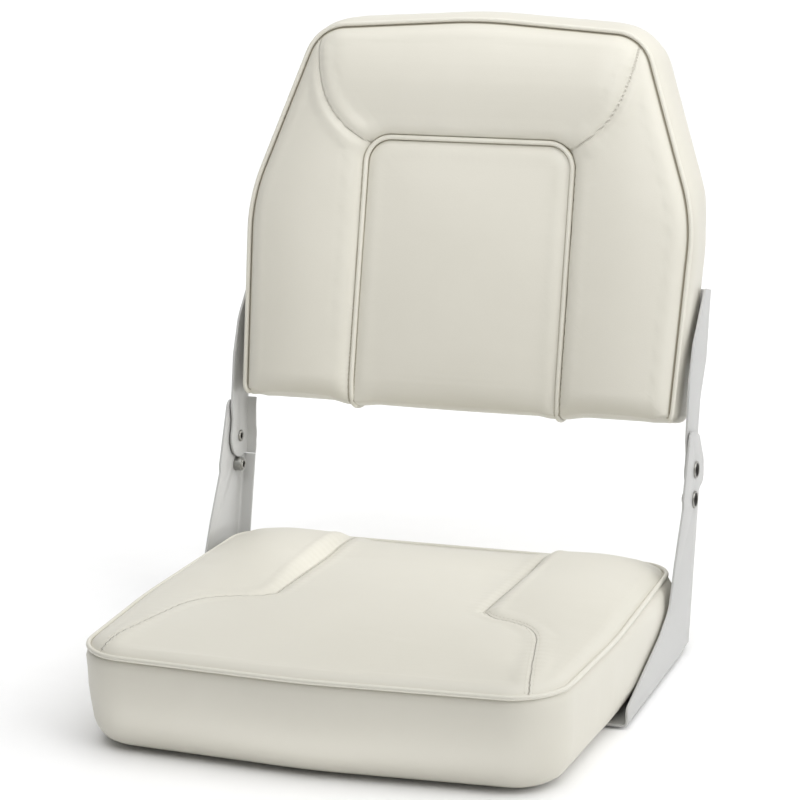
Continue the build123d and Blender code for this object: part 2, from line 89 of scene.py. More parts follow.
# The side's section: height and how far inside the outline it lies
SEAT_SIDE = [
    (0.0, 11.0), (1.6, 8.0), (4.6, 5.4), (9.0, 2.7), (14.0, 0.7), (19.6, -0.9), (28.0, -2.6),
    (40.6, -3.7), (52.0, -3.5), (61.6, -2.4), (66.0, -0.9), (68.6, 1.0), (70.0, 2.0),
]
SEAT_RIM = 2.0
# The hem turned under the board: inset and height
SEAT_HEM = ((45, 0.6), (45, -1.2), (16, -1.2), (12.4, -1.15))
SEAT_CENTRE = (0.0, 0.0)
SIDE_SWELL = 6.5
# Heights between which the swelling begins, over the hem
SEAT_LOOSE = (8, 26)
# How far the piping covers the cloth below it
WELT_REACH = 1.6
# The middle sinks to the rear and the bolsters rise, with a soft roll over the rear welt
SEAT_EDGE_REACH = 11.0
MIDDLE_SINK = 8.5
REAR_ROLL = 3.4
REAR_LIP = 2.2
BOLSTER_RISE = 4.5
BOLSTER_ROUND = 1.8
BOLSTER_WIDTH = 100.0
CORNER_DROP = 4.5

# Back cushion outline, across and up the back, in the same way
BACK_HALF = [(189.5, 118.5), (196.5, 284), (144.5, 433.5)]
BACK_RADII = [5, 150, 36, 400, 36, 150, 5]
BACK_TOP = 443.0
BACK_THICKNESS = 50.0
BACK_RIM = 3.0
# The side's section: height over the rear and how far inside the outline it lies
BACK_SIDE = [
    (0.0, 5.0), (2.0, 2.2), (6.0, -1.2), (12.0, -3.0), (21.0, -4.7), (31.0, -4.6), (39.0, -3.7),
    (45.0, -1.8), (48.4, 0.9), (50.0, 3.0),
]
BACK_FOOT = (148.3, 75.5)
BACK_CENTRE = (0.0, 275.0)
BACK_LOOSE = (-44, -30)
# Sections behind the welt plane: inset and how far out they lie
BACK_HEM = ((9.0, -48.0), (6.4, -50.0))
CLOSING_PANEL = ((6.6, -49.0), (6.6, -49.75), (7.3, -50.0), (12.0, -50.0), (40.0, -49.9))
# Stuffing of the front: the bolsters' round, the head, the sunk panel and its bed
BACK_EDGE_REACH = 8.5
BACK_ROUND = 2.6
HEAD_RISE = 4.6
PANEL_BED = 1.6
PANEL_RISE = 5.4
PANEL_CROWN = 1.1
BOLSTER_ROLL = 24.0
PIPING_SEAT = 2.2
PIPING_EDGE = 2.3

# The bottom of the back has no welt: its vinyl rolls under in an arc
ROLL_LOW = 112.0
ROLL_OUT = -12.0
ROLL_RADIUS = 24.0
ROLL_ARCH = 2.2
ROLL_REAR = -38.0
ROLL_CORNER = 186.0

# Above the arms the back's sides swell further, most of all towards the rear
BACK_SWELL = 5.0
CREST_SWELL = 0.55
ARM_TOP = 272.0
RECLINE = math.radians(17.1)

# Seams of the seat's side bolsters, right side, from the rear to the front corner
SEAT_SEAM = [
    (88, 190), (88, 10), (91, -8), (102, -19), (118, -25), (134, -36), (146, -54), (153, -76),
    (160, -104), (168, -135), (174, -160),
]

# Centre panel of the back and the seams from its corners to the top corners
PANEL_HALF = 91.5
PANEL_TOP = 340.5
PANEL_CORNER = 22.0
CREST_SEAM = [
    (84, 334), (96, 338), (109, 347), (121, 359), (130, 374), (136, 391), (140, 409),
    (141, 424), (141, 440),
]

# Piping: where it sits on the panel, how its ends tuck under, as (flare, up, out)
PANEL_PIPING_OUT = 3.4
PANEL_PIPING_ENDS = [
    (0.0, 142.0, 3.4), (0.0, 133.0, 3.0), (0.2, 124.0, 1.7), (0.4, 117.5, -0.4),
    (0.6, 113.6, -4.0), (0.8, 111.8, -9.0), (1.0, 111.5, -16.0), (1.2, 112.9, -25.0),
    (1.3, 116.4, -33.0),
]
WELT_TUCK = [(188.2, 118.6, -1.5), (187.2, 117.4, -5.0), (185.6, 118.2, -10.0)]
# The back's welt is drawn above this height or outside this half-width
WELT_END = (150.0, 188.4)
PIPING_STEP = 2.5
TUBE_SIDES = 12

# Foam blocks: height and inset of the seat's sections, inset and depth of the back's
SEAT_FOAM = (
    (12.2, 9.5), (13.4, 8.3), (19.6, 1.8), (59.0, 1.9), (64.0, 6.0), (69.4, 15.6), (70.0, 20.0),
)
BACK_FOAM = ((3.4, -36.6), (2.2, -35.0), (1.9, -8.0), (7.0, -4.0), (15.6, -0.6), (20.0, -0.1))

# Hardware
BRACKET_PLATE = 1.8
BRACKET_GAP = 0.8
RIVET_TURNS = 40
RIVET_SHANKS = (("pivot_rivet", 4.0), ("stop_rivet", 3.4))
PETAL_DEPTH = 0.16

# Rings over each cushion's face, and how closely they stand at the rim
FACE_RINGS = 92
FACE_SPACING = 1.25

# Cloth trial: greatest shift, shrink before it blows up and voxel size, in millimetres
SWELL_CAP = 4.5
SWELL_SHRINK = 1.8
SWELL_VOXEL = 6.0
SWELL_FRAMES = 20
SWELL_PRESSURE = 4.0
NEIGHBOURS = 6

# Stitches and staples, in millimetres
STITCH_LENGTH = 3.0
STITCH_THICKNESS = 0.45
SEAT_STITCH_GAP = 3.0
BACK_STITCH_GAP = 2.6
SEAT_STITCH_ENDS = {1: (-158, 4), -1: (-158, -95)}
BACK_STITCH_ENDS = (339, 424)
THREAD_LIFT = 0.05
STAPLE_LENGTH = 10
STAPLE_THICKNESS = 0.9
STAPLE_PITCH = 21
STAPLE_INSET = 37
STAPLE_HEIGHT = -1.35
# Staples stop this far beside and before the brackets
STAPLE_CLEAR = (22, 8)

# The photo's camera, from a fit to its points, angles in degrees and places in metres
CAMERA_AZIMUTH, CAMERA_ELEVATION, CAMERA_ROLL = 20.61, 16.25, -2.02
CAMERA_PLACE = (0.85437, -2.21087, 0.93489)
CAMERA_SHIFT = -0.00214
PHOTO_PIXELS = 800
FOCAL_PIXELS = 3155.24
SENSOR_WIDTH = 36
FLOOR_HALF = 30.0

# Brightness of the surround: everywhere, and what its right, rear and top add
SURROUND = 0.14
WALLS = (0.00, 0.91, 0)
# Lights: name, place or None for a sun, aim, size in metres, spread in degrees, power.
# The last two are low reflectors, before the seat's front and through the gap at the left bracket.
LIGHTS = (
    ("ceiling_light", None, (-0.05, 0.10, -1.0), None, 60, 1.62),
    ("right_window", None, (-0.85, 0.10, -0.60), None, 50, 1.44),
    ("right_softbox", (0.55, -0.60, 1.30), (0.03, 0.26, 0.46), (0.6, 0.6), 40, 0.16),
    ("front_softbox", (0.10, -0.75, 1.25), (0.03, 0.26, 0.48), (0.6, 0.6), 40, 0.43),
    ("front_reflector", (0.0, -0.199, 0.001), (0.0, -0.199, 1.0), (0.40, 0.012), 170, 0.040),
    ("gap_reflector", (0.75, -0.10, 0.20), (-0.20, 0.13, 0.13), (0.10, 0.06), 14, 0.018),
)


# Outlines and distances


def rounded_outline(corners, radii, inset=0.0):
    """Points round a polygon whose corners are rounded and whose sides are moved inwards."""
    corners = np.array(corners, float)
    count = len(corners)
    arcs = []
    for i in range(count):
        here = corners[i]
        coming = here - corners[i - 1]
        going = corners[(i + 1) % count] - here
        coming, going = coming / np.linalg.norm(coming), going / np.linalg.norm(going)
        inward_a = np.array([-coming[1], coming[0]])
        inward_b = np.array([-going[1], going[0]])
        corner = here + (inward_a + inward_b) * inset / (1 + inward_a @ inward_b)
        radius = max(radii[i] - inset, LEAST_RADIUS)
        turn = math.atan2(coming[0] * going[1] - coming[1] * going[0], coming @ going)
        centre = corner - coming * radius * math.tan(turn / 2) + inward_a * radius
        a = np.linspace(0, turn, ARC_POINTS + 1)[:, None]
        arcs.append(centre + (coming * np.sin(a) - inward_a * np.cos(a)) * radius)
    points = []
    for i, arc in enumerate(arcs):
        # A side has the same number of points at every inset, so that rings match
        following = (i + 1) % count
        side = np.linalg.norm(corners[following] - corners[i])
        steps = max(2, int(round(side / SIDE_STEP)))
        share = np.arange(1, steps)[:, None] / steps
        points += [arc, arc[-1] + (arcs[following][0] - arc[-1]) * share]
    return np.vstack(points)


def mirrored(right_half):
    """A whole outline, anticlockwise, from its right half."""
    return list(right_half) + [(-x, y) for x, y in reversed(right_half) if x > 0]


def line_distance(points, line, closed=False):
    """Distance of each point from a polyline, and how far along the line its nearest place lies."""
    line = np.array(line, float)
    ends = np.roll(line, -1, axis=0) if closed else line[1:]
    starts = line if closed else line[:-1]
    spans = ends - starts
    lengths = np.linalg.norm(spans, axis=1)
    before = np.concatenate([[0.0], np.cumsum(lengths)[:-1]])
    best = np.full(len(points), 1e9)
    along = np.zeros(len(points))
    for i in range(len(starts)):
        if lengths[i] < 1e-9:
            continue
        t = np.clip(((points - starts[i]) @ spans[i]) / lengths[i] ** 2, 0, 1)
        gap = np.linalg.norm(points - starts[i] - t[:, None] * spans[i], axis=1)
        nearer = gap < best
        best[nearer] = gap[nearer]
        along[nearer] = before[i] + t[nearer] * lengths[i]
    return best, along


def inside(points, polygon):
    """Which points lie within a polygon."""
    polygon = np.array(polygon, float)
    result = np.zeros(len(points), bool)
    x, y = points[:, 0], points[:, 1]
    for i in range(len(polygon)):
        (xa, ya), (xb, yb) = polygon[i - 1], polygon[i]
        crosses = (ya > y) != (yb > y)
        with np.errstate(divide="ignore", invalid="ignore"):
            cut = (xb - xa) * (y - ya) / (yb - ya) + xa
        result ^= crosses & (x < cut)
    return result


def eased(t):
    """A smooth step from 0 to 1."""
    t = np.clip(t, 0, 1)
    return t * t * (3 - 2 * t)


def between(value, start, end):
    """A smooth step from 0 at the start to 1 at the end, which may lie lower."""
    return eased((value - start) / (end - start))


def fade(distance, reach):
    """Falls from 1 at no distance to a third at the reach."""
    return np.exp(-distance / reach)


def bell(distance, width):
    """A smooth hump, 1 at no distance and a third at the width."""
    return np.exp(-((distance / width) ** 2))


def puckers(distance, along, size, reach, pitch):
    """The small waves that a stitched line pulls into the vinyl beside it."""
    return size * fade(distance, reach) * np.sin(along * 2 * math.pi / pitch)


def smooth_line(points, step=2.0):
    """A smooth open line through points, evenly stepped."""
    points = np.array(points, float)
    padded = np.vstack([2 * points[0] - points[1], points, 2 * points[-1] - points[-2]])
    t = np.arange(SPLINE_STEPS)[:, None] / SPLINE_STEPS
    dense = []
    for i in range(1, len(padded) - 2):
        a, b, c, d = padded[i - 1 : i + 3]
        bend = (2 * a - 5 * b + 4 * c - d) * t**2 + (3 * b - a - 3 * c + d) * t**3
        dense.append(b + ((c - a) * t + bend) / 2)
    dense = np.vstack([*dense, points[-1:]])
    lengths = np.concatenate([[0], np.cumsum(np.linalg.norm(np.diff(dense, axis=0), axis=1))])
    wanted = np.linspace(0, lengths[-1], max(2, int(lengths[-1] / step)) + 1)
    return np.stack([np.interp(wanted, lengths, dense[:, i]) for i in range(dense.shape[1])], 1)


def ripple(points, size, seed):
    """Gentle, repeatable unevenness from a few crossing waves."""
    rng = np.random.default_rng(seed)
    total = np.zeros(len(points))
    for _ in range(7):
        angle = rng.uniform(0, math.pi)
        phase = rng.uniform(0, 2 * math.pi)
        wave = size * rng.uniform(0.7, 1.5)
        direction = np.array([math.cos(angle), math.sin(angle)])
        total += np.sin(points @ direction * 2 * math.pi / wave + phase)
    return total / 7


# Cushion surfaces

seat_corners = mirrored(SEAT_HALF)
seat_ring = rounded_outline(seat_corners, SEAT_RADII)
seat_seam_right = smooth_line(SEAT_SEAM)
bolster_region = np.vstack([seat_seam_right, [[230, -165], [230, 200]]])


def seat_welt_plane(y):
    """Height of the seat's welt seam over a place."""
    return SEAT_WELT_HEIGHT - y * SEAT_FALL


def seat_height(points, crown=11.0):
    """Height of the seat's top over the plan points, and each one's distance from the seams."""
    x, y = np.abs(points[:, 0]), points[:, 1]
    right_half = np.column_stack([x, y])
    edge, edge_along = line_distance(points, seat_ring, closed=True)
    inward = np.clip(edge - SEAT_RIM, 0, None)
    rise = 1 - fade(inward, SEAT_EDGE_REACH)
    seam, seam_along = line_distance(right_half, seat_seam_right)
    signed = np.where(inside(right_half, bolster_region), seam, -seam)
    sunk = np.clip((y + 20) / 200, 0, 1) ** 1.15
    middle = crown - MIDDLE_SINK * sunk + REAR_ROLL * between(y, 95, 155)
    side = crown + BOLSTER_RISE * between(y, -35, 70)
    side += BOLSTER_ROUND * np.sin(np.clip(signed / BOLSTER_WIDTH, 0, 1) * math.pi)
    side -= CORNER_DROP * between(x, 135, 185) * between(y, 95, 170)
    plateau = middle + (side - middle) * between(signed, -3, 14)
    # The sewn fold shows on the straight run and hardly on the curve
    sharp = between(y, -60, 0)
    valley = (0.35 + 2.0 * sharp) * bell(seam, 2.6 + 2.4 * sharp)
    sewn = puckers(seam, seam_along, size=0.22, reach=7, pitch=8.5)
    sewn += puckers(edge, edge_along, size=0.16, reach=8, pitch=10)
    slack = 0.45 * ripple(points, 95, 4) + 0.16 * ripple(points, 38, 9)
    height = rise * (plateau - valley + sewn + slack)
    height += REAR_LIP * between(y, 120, 165) * fade(inward, 9) * (rise > 0.04)
    # Towards the front the seam value is moved off zero, most on the left, so the sewn fold's
    # painted shade and bump fade on the curve
    faint = np.where(points[:, 0] < 0, 1.3, 0.95) * (1 - between(y, -25, 5))
    # At the rear the welt distance is pushed far, so no painted shade line shows along the rear
    # welt
    welt_gap = edge - SEAT_RIM + 0.5 + FAR * between(y, 140, 160)
    return seat_welt_plane(y) + height, signed + np.sign(signed) * faint, FAR, welt_gap


back_corners = list(BACK_HALF) + [(0, BACK_TOP)] + [(-x, y) for x, y in reversed(BACK_HALF)]
# The same outline with its sides run on below the bottom, for the distance from the side welts
back_open_ring = rounded_outline(
    [(181.95, -60)] + back_corners[1:-1] + [(-181.95, -60)], BACK_RADII
)
crest_seam_right = smooth_line(CREST_SEAM)
panel_ring = rounded_outline(
    [(-PANEL_HALF, 40), (PANEL_HALF, 40), (PANEL_HALF, PANEL_TOP), (-PANEL_HALF, PANEL_TOP)],
    [4, 4, PANEL_CORNER, PANEL_CORNER],
)


def bottom_share(points):
    """How far a point of the back belongs to its rolled bottom edge, from 0 to 1."""
    return between(np.abs(points[:, 0]), 183, 171) * between(points[:, 1], 152, 132)


def bottom_inset(out):
    """How far inside the outline the rolled bottom lies at a distance out from the welt plane."""
    lowest = ROLL_LOW - BACK_HALF[0][1]
    if out >= ROLL_OUT:
        return lowest + ROLL_RADIUS - math.sqrt(ROLL_RADIUS**2 - (out - ROLL_OUT) ** 2)
    heights, insets = zip(*BACK_SIDE)
    regular = float(np.interp(max(out, -BACK_THICKNESS) + BACK_THICKNESS, heights, insets))
    return regular + (lowest - regular) * float(between(out, ROLL_REAR, ROLL_OUT))


def back_outline(inset, out):
    """The back's outline at one depth, with its bottom rolled instead of welted."""
    plan = rounded_outline(back_corners, BACK_RADII, inset)
    low = rounded_outline(back_corners, BACK_RADII, bottom_inset(out))
    share = bottom_share(plan)
    x = np.abs(plan[:, 0])
    above = between(plan[:, 1], ARM_TOP, ARM_TOP + 45)
    above += CREST_SWELL * between(plan[:, 1], 410, 430) * between(x, 150, 110)
    depth = np.clip(-out / BACK_THICKNESS, 0, 1) ** 1.3
    spoke = plan - rounded_outline(back_corners, BACK_RADII, inset + 2.0)
    spoke /= np.linalg.norm(spoke, axis=1)[:, None]
    plan = plan + spoke * (BACK_SWELL * above * np.sin(depth * math.pi))[:, None]
    across = np.clip((x - PANEL_HALF) / (ROLL_CORNER - PANEL_HALF), 0, 1)
    shaped = plan + (low - plan) * share[:, None]
    shaped[:, 1] += ROLL_ARCH * np.sin(across * math.pi) * share * between(out, -34, -18)
    return shaped


def back_height(points, crown=12.0):
    """Height of the back's front over its welt plane, and each point's distances from the seams."""
    x, s = np.abs(points[:, 0]), points[:, 1]
    edge, edge_along = line_distance(points, back_open_ring, closed=True)
    rise = 1 - fade(np.clip(edge - BACK_RIM, 0, None), BACK_EDGE_REACH)
    low = np.clip(s - ROLL_LOW, 0, ROLL_RADIUS)
    rolled = ROLL_OUT + np.sqrt(ROLL_RADIUS**2 - (ROLL_RADIUS - low) ** 2)
    rise *= np.clip(rolled / (ROLL_RADIUS + ROLL_OUT), 0, 1)
    panel, _ = line_distance(points, panel_ring, closed=True)
    panel = np.where(inside(points, panel_ring), panel, -panel)
    crest, crest_along = line_distance(np.column_stack([x, s]), crest_seam_right)
    roll = np.sqrt(1 - (1 - np.clip((-panel - PIPING_SEAT) / BOLSTER_ROLL, 0, 1)) ** 2)
    full = crown + BACK_ROUND * np.sin(np.clip((edge - 6) / 88, 0, 1) * math.pi)
    full += HEAD_RISE * between(s, 350, 390) * between(x, 150, 110)
    outer = PANEL_BED + (full - PANEL_BED) * roll
    inner = PANEL_BED + PANEL_RISE * (1 - fade(np.clip(panel - PIPING_SEAT, 0, None), 10))
    inner += PANEL_CROWN * np.sin(np.clip((s - 125) / 210, 0, 1) * math.pi)
    plateau = np.where(panel > 0, inner, outer)
    sewn = puckers(crest, crest_along, size=0.22, reach=7, pitch=8.5) - 2.3 * bell(crest, 4.2)
    sewn *= panel < 0
    sewn += puckers(edge, edge_along, size=0.14, reach=8, pitch=10)
    slack = 0.4 * ripple(points, 90, 21) + 0.12 * ripple(points, 36, 5)
    height = rise * (plateau + sewn + slack)
    return height, crest, np.abs(panel) - PIPING_EDGE, edge - BACK_RIM


def back_point(points):
    """From across, up and out of the back to the frame."""
    points = np.array(points, float)
    x, s, out = points[..., 0], points[..., 1], points[..., 2]
    y = BACK_FOOT[0] + s * math.sin(RECLINE) - out * math.cos(RECLINE)
    z = BACK_FOOT[1] + s * math.cos(RECLINE) + out * math.sin(RECLINE)
    return np.stack([x, y, z], -1)


def quads(rows, count, closed=False):
    """Faces between matching rings, row after row, and on to the first row when closed."""
    faces = []
    for row in range(rows if closed else rows - 1):
        a, b = row * count, (row + 1) % rows * count
        for k in range(count):
            n = (k + 1) % count
            faces.append((a + k, a + n, b + n, b + k))
    return faces


def bridge(rings):
    """Vertices and faces of a skin over matching closed rings, its ends closed by fans."""
    count = len(rings[0])
    faces = quads(len(rings), count)
    centre = len(rings) * count
    last = centre - count
    for k in range(count):
        faces.append(((k + 1) % count, k, centre))
    for k in range(count):
        faces.append((last + k, last + (k + 1) % count, centre + 1))
    return np.vstack([*rings, rings[0].mean(axis=0), rings[-1].mean(axis=0)]), faces


def ring_at(plan, height):
    """Points over a plan outline at one height, or at one for each point."""
    return np.column_stack([plan, np.broadcast_to(height, len(plan))])


def sections(corners, radii, stack):
    """Rings of an outline at each (inset, height) of a stack."""
    return [ring_at(rounded_outline(corners, radii, inset), height) for inset, height in stack]


def new_object(name, data):
    """An object in the scene for a mesh or a curve."""
    piece = bpy.data.objects.new(name, data)
    bpy.context.scene.collection.objects.link(piece)
    return piece


def evaluated_mesh(piece):
    """The mesh that an object's modifiers make of it."""
    depsgraph = bpy.context.evaluated_depsgraph_get()
    return bpy.data.meshes.new_from_object(piece.evaluated_get(depsgraph))


def make_mesh(name, vertices, faces, attributes=None, smooth=True):
    """A mesh object from points in millimetres, with named values on its points."""
    mesh = bpy.data.meshes.new(name)
    mesh.from_pydata((np.array(vertices) * MM).tolist(), [], [tuple(f) for f in faces])
    mesh.update()
    for key, values in (attributes or {}).items():
        layer = mesh.attributes.new(key, "FLOAT", "POINT")
        layer.data.foreach_set("value", np.array(values, np.float32))
    if smooth:
        mesh.shade_smooth()
    return new_object(name, mesh)


def finish_piece(piece, finish, body, slot, *stands_for):
    """Gives a piece its material and its body, and hides the CAD nodes that it stands for; the slot
    is not used.
    """
    piece.data.materials.clear()
    piece.data.materials.append(shared_material(finish))
    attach(piece, body)
    if stands_for:
        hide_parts(*stands_for)
    return piece


def tube(path, radius, closed=True):
    """Rings of a round cord along a path, as vertices and faces."""
    path = np.array(path, float)
    count = len(path)
    if closed:
        ahead = np.roll(path, -1, axis=0) - np.roll(path, 1, axis=0)
    else:
        ahead = np.gradient(path, axis=0)
    ahead /= np.linalg.norm(ahead, axis=1)[:, None]
    across = np.cross(ahead, np.array((0.0, 0.0, 1.0)))
    across /= np.linalg.norm(across, axis=1)[:, None]
    over = np.cross(across, ahead)
    radius = np.broadcast_to(radius, (count,))[:, None]
    rings = []
    for k in range(TUBE_SIDES):
        a = 2 * math.pi * k / TUBE_SIDES
        rings.append(path + (across * math.cos(a) + over * math.sin(a)) * radius)
    vertices = np.stack(rings, 1).reshape(-1, 3)
    faces = quads(count, TUBE_SIDES, closed)
    if not closed:
        faces.append(tuple(range(TUBE_SIDES - 1, -1, -1)))
        faces.append(tuple((count - 1) * TUBE_SIDES + k for k in range(TUBE_SIDES)))
    return vertices, faces


def closed_piece(name, vertices, faces, attributes=None):
    """A closed mesh object with doubled points merged and every face turned outwards."""
    piece = make_mesh(name, vertices, faces, attributes)
    mesh = bmesh.new()
    mesh.from_mesh(piece.data)
    bmesh.ops.remove_doubles(mesh, verts=mesh.verts, dist=1e-6)
    bmesh.ops.recalc_face_normals(mesh, faces=mesh.faces)
    mesh.to_mesh(piece.data)
    mesh.free()
    return piece


# Materials


def linear(code):
    """An sRGB hex colour as linear RGBA."""
    values = [int(code[i : i + 2], 16) / 255 for i in (1, 3, 5)]
    values = [v / 12.92 if v <= 0.04045 else ((v + 0.055) / 1.055) ** 2.4 for v in values]
    return (*values, 1.0)


def add_node(tree, kind, settings=None, inputs=None):
    """Adds one node with its settings and its inputs, each a value or the socket that feeds it."""
    node = tree.nodes.new(kind)
    for key, value in (settings or {}).items():
        setattr(node, key, value)
    for key, value in (inputs or {}).items():
        if isinstance(value, bpy.types.NodeSocket):
            tree.links.new(value, node.inputs[key])
        else:
            node.inputs[key].default_value = value
    return node


def new_material(name):
    """A material and its empty node tree."""
    material = bpy.data.materials.new(name)
    material.use_nodes = True
    tree = material.node_tree
    tree.nodes.clear()
    return material, tree


def object_place(tree):
    """Object coordinates, in metres."""
    return add_node(tree, "ShaderNodeTexCoord").outputs["Object"]


def noise(tree, place, **inputs):
    """A noise over the place."""
    return add_node(tree, "ShaderNodeTexNoise", None, {"Vector": place, **inputs}).outputs["Fac"]


def cells(tree, place, settings=None, **inputs):
    """Distances within a pattern of cells over the place."""
    node = add_node(tree, "ShaderNodeTexVoronoi", settings, {"Vector": place, **inputs})
    return node.outputs["Distance"]


def maths(tree, operation, *terms):
    """One step of arithmetic on sockets and values."""
    inputs = dict(enumerate(terms))
    return add_node(tree, "ShaderNodeMath", {"operation": operation}, inputs).outputs[0]


def mixed(tree, factor, first, second):
    """A colour between two, each a hex code or a socket."""
    inputs = {"Factor": factor}
    for key, colour in (("A", first), ("B", second)):
        inputs[key] = linear(colour) if isinstance(colour, str) else colour
    return add_node(tree, "ShaderNodeMix", {"data_type": "RGBA"}, inputs).outputs["Result"]


def bumped(tree, height, strength, distance, **more):
    """A normal that follows a height, whose full reach is the distance in metres."""
    inputs = {"Height": height, "Strength": strength, "Distance": distance, **more}
    return add_node(tree, "ShaderNodeBump", None, inputs).outputs["Normal"]


def point_value(tree, name):
    """A mesh's own named value."""
    return add_node(tree, "ShaderNodeAttribute", {"attribute_name": name}).outputs["Fac"]


def ramp(tree, value, start, end):
    """A smooth step from 0 at the start to 1 at the end."""
    inputs = {"Value": value, "From Min": start, "From Max": end}
    node = add_node(tree, "ShaderNodeMapRange", {"interpolation_type": "SMOOTHSTEP"}, inputs)
    return node.outputs["Result"]


def finished(material, colour, **inputs):
    """The material with a Principled surface of the colour and the other inputs."""
    tree = material.node_tree
    inputs = {key.replace("_", " "): value for key, value in inputs.items()}
    shader = add_node(tree, "ShaderNodeBsdfPrincipled", None, {"Base Color": colour, **inputs})
    add_node(tree, "ShaderNodeOutputMaterial", None, {"Surface": shader.outputs[0]})
    return material


def marine_vinyl(name, light, dark, roughness=0.46, grain=0.10, stitched=False):
    """Calendered marine vinyl: soft sheen, a pebbled grain under a millimetre, faint mottling."""
    material, tree = new_material(name)
    place = object_place(tree)
    mottle = noise(tree, place, Scale=9.0, Detail=4.0, Roughness=0.55)
    colour = mixed(tree, mottle, light, dark)
    # Pebbles of about 0.9 mm, with finer pores between them
    pebbles = cells(tree, place, {"feature": "SMOOTH_F1"}, Scale=1100.0, Smoothness=0.7)
    pores = noise(tree, place, Scale=2600.0, Detail=2.0)
    pore_share = 0.35
    height = maths(tree, "MULTIPLY_ADD", pores, pore_share, pebbles)
    normal = bumped(tree, height, strength=grain, distance=0.0004)
    if stitched:
        # The sewn line itself, a sharp fold at zero distance from the seam
        fold = ramp(tree, maths(tree, "ABSOLUTE", point_value(tree, "seam")), 0.0, 1.3)
        normal = bumped(tree, fold, strength=0.9, distance=0.0012, Normal=normal)
        # Painted shade, with some dirt, darkens the cover where it meets its piping
        gaps = point_value(tree, "panel_gap"), point_value(tree, "welt_gap")
        clear_of_dirt_and_shade = ramp(tree, maths(tree, "MINIMUM", *gaps), 0.1, 1.0)
        # Painted shade darkens the cover along the sewn fold
        colour = mixed(tree, fold, "#C6C2B5", colour)
        # Painted shade and some dirt beside the piping
        colour = mixed(tree, clear_of_dirt_and_shade, "#A09A8A", colour)
    look = {"Roughness": roughness, "IOR": 1.5, "Sheen_Weight": 0.05}
    return finished(material, colour, Normal=normal, **look)


def powder_coat(name, colour):
    """White powder coat on pressed steel: slight orange peel and a medium gloss."""
    material, tree = new_material(name)
    place = object_place(tree)
    # Orange peel about 1.5 mm across
    peel = noise(tree, place, Scale=650.0, Detail=1.0)
    normal = bumped(tree, peel, strength=0.10, distance=0.0002)
    tone = mixed(tree, noise(tree, place, Scale=22.0, Detail=5.0), colour, "#B8B8B6")
    return finished(material, tone, Normal=normal, Roughness=0.38, IOR=1.5)


def zinc_steel(name, colour, dark, roughness=0.42, inside=None):
    """Zinc-plated steel gone dull: grey metal with faint blotches, its hollows painted dark as
    shade.
    """
    material, tree = new_material(name)
    blotch = noise(tree, object_place(tree), Scale=260.0, Detail=5.0)
    tone = mixed(tree, blotch, colour, dark)
    # Painted shade: the hollows take the dark colour given as inside
    if inside:
        tone = mixed(tree, point_value(tree, "hollow"), tone, inside)
    normal = bumped(tree, blotch, strength=0.25, distance=0.0001)
    return finished(material, tone, Normal=normal, Roughness=roughness, Metallic=1.0)


def plywood(name):
    """Marine plywood: long pale grain on the faces."""
    material, tree = new_material(name)
    inputs = {"Vector": object_place(tree), "Scale": (90.0, 5.0, 90.0)}
    along = add_node(tree, "ShaderNodeMapping", None, inputs).outputs[0]
    grain = noise(tree, along, Scale=3.0, Detail=8.0, Roughness=0.65, Distortion=0.6)
    normal = bumped(tree, grain, strength=0.2, distance=0.0003)
    tone = mixed(tree, grain, "#C9A36B", "#8E6A3D")
    return finished(material, tone, Normal=normal, Roughness=0.68)


def cushion_foam(name):
    """Open-cell polyurethane foam: pale yellow and porous, with cells about 1.5 mm across."""
    material, tree = new_material(name)
    pores = cells(tree, object_place(tree), Scale=700.0)
    normal = bumped(tree, pores, strength=0.5, distance=0.0006)
    # The pits in the middle of each cell are painted darker as shade
    tone = mixed(tree, pores, "#B89E5C", "#E6D69A")
    return finished(material, tone, Normal=normal, Roughness=0.95)


def sewing_thread(name, colour):
    """Bonded polyester thread: two plies show as fine slanting ridges."""
    material, tree = new_material(name)
    inputs = {"Vector": object_place(tree), "Scale": 900.0, "Distortion": 0.5}
    wave = add_node(tree, "ShaderNodeTexWave", {"bands_direction": "DIAGONAL"}, inputs)
    plies = wave.outputs["Fac"]
    normal = bumped(tree, plies, strength=0.4, distance=0.0001)
    return finished(material, mixed(tree, plies, colour, "#CBC8BC"), Normal=normal, Roughness=0.6)


def studio_floor(name):
    """Seamless paper: nearly white and matt."""
    material, tree = new_material(name)
    fibre = noise(tree, object_place(tree), Scale=40.0)
    return finished(material, mixed(tree, fibre, "#FDFDFD", "#FAFAFA"), Roughness=0.9)


def shared_material(key):
    """Each finish of the seat, made once."""
    settings = bpy.context.scene.boat_seat
    light, dark = settings.vinyl_light, settings.vinyl_dark
    makers = {
        "vinyl": lambda: marine_vinyl("marine_vinyl", light, dark, stitched=True),
        "welt": lambda: marine_vinyl("piping_vinyl", "#DBD8CD", "#D4D1C5", 0.38, 0.06),
        "coat": lambda: powder_coat("white_powder_coat", settings.bracket_colour),
        "zinc": lambda: zinc_steel("zinc_plate", "#B4B4B0", "#8C8C88"),
        # The rivets' hollows are painted near black as shade
        "rivet": lambda: zinc_steel("rivet_steel", "#B9B8B3", "#8A8883", 0.36, "#2B2926"),
        "wood": lambda: plywood("plywood"),
        "foam": lambda: cushion_foam("cushion_foam"),
        "thread": lambda: sewing_thread("bonded_thread", "#DFDCD1"),
    }
    finish = bpy.data.materials.get("shared_" + key)
    if finish is None:
        finish = makers[key]()
        finish.name = "shared_" + key
    return finish


# Settings


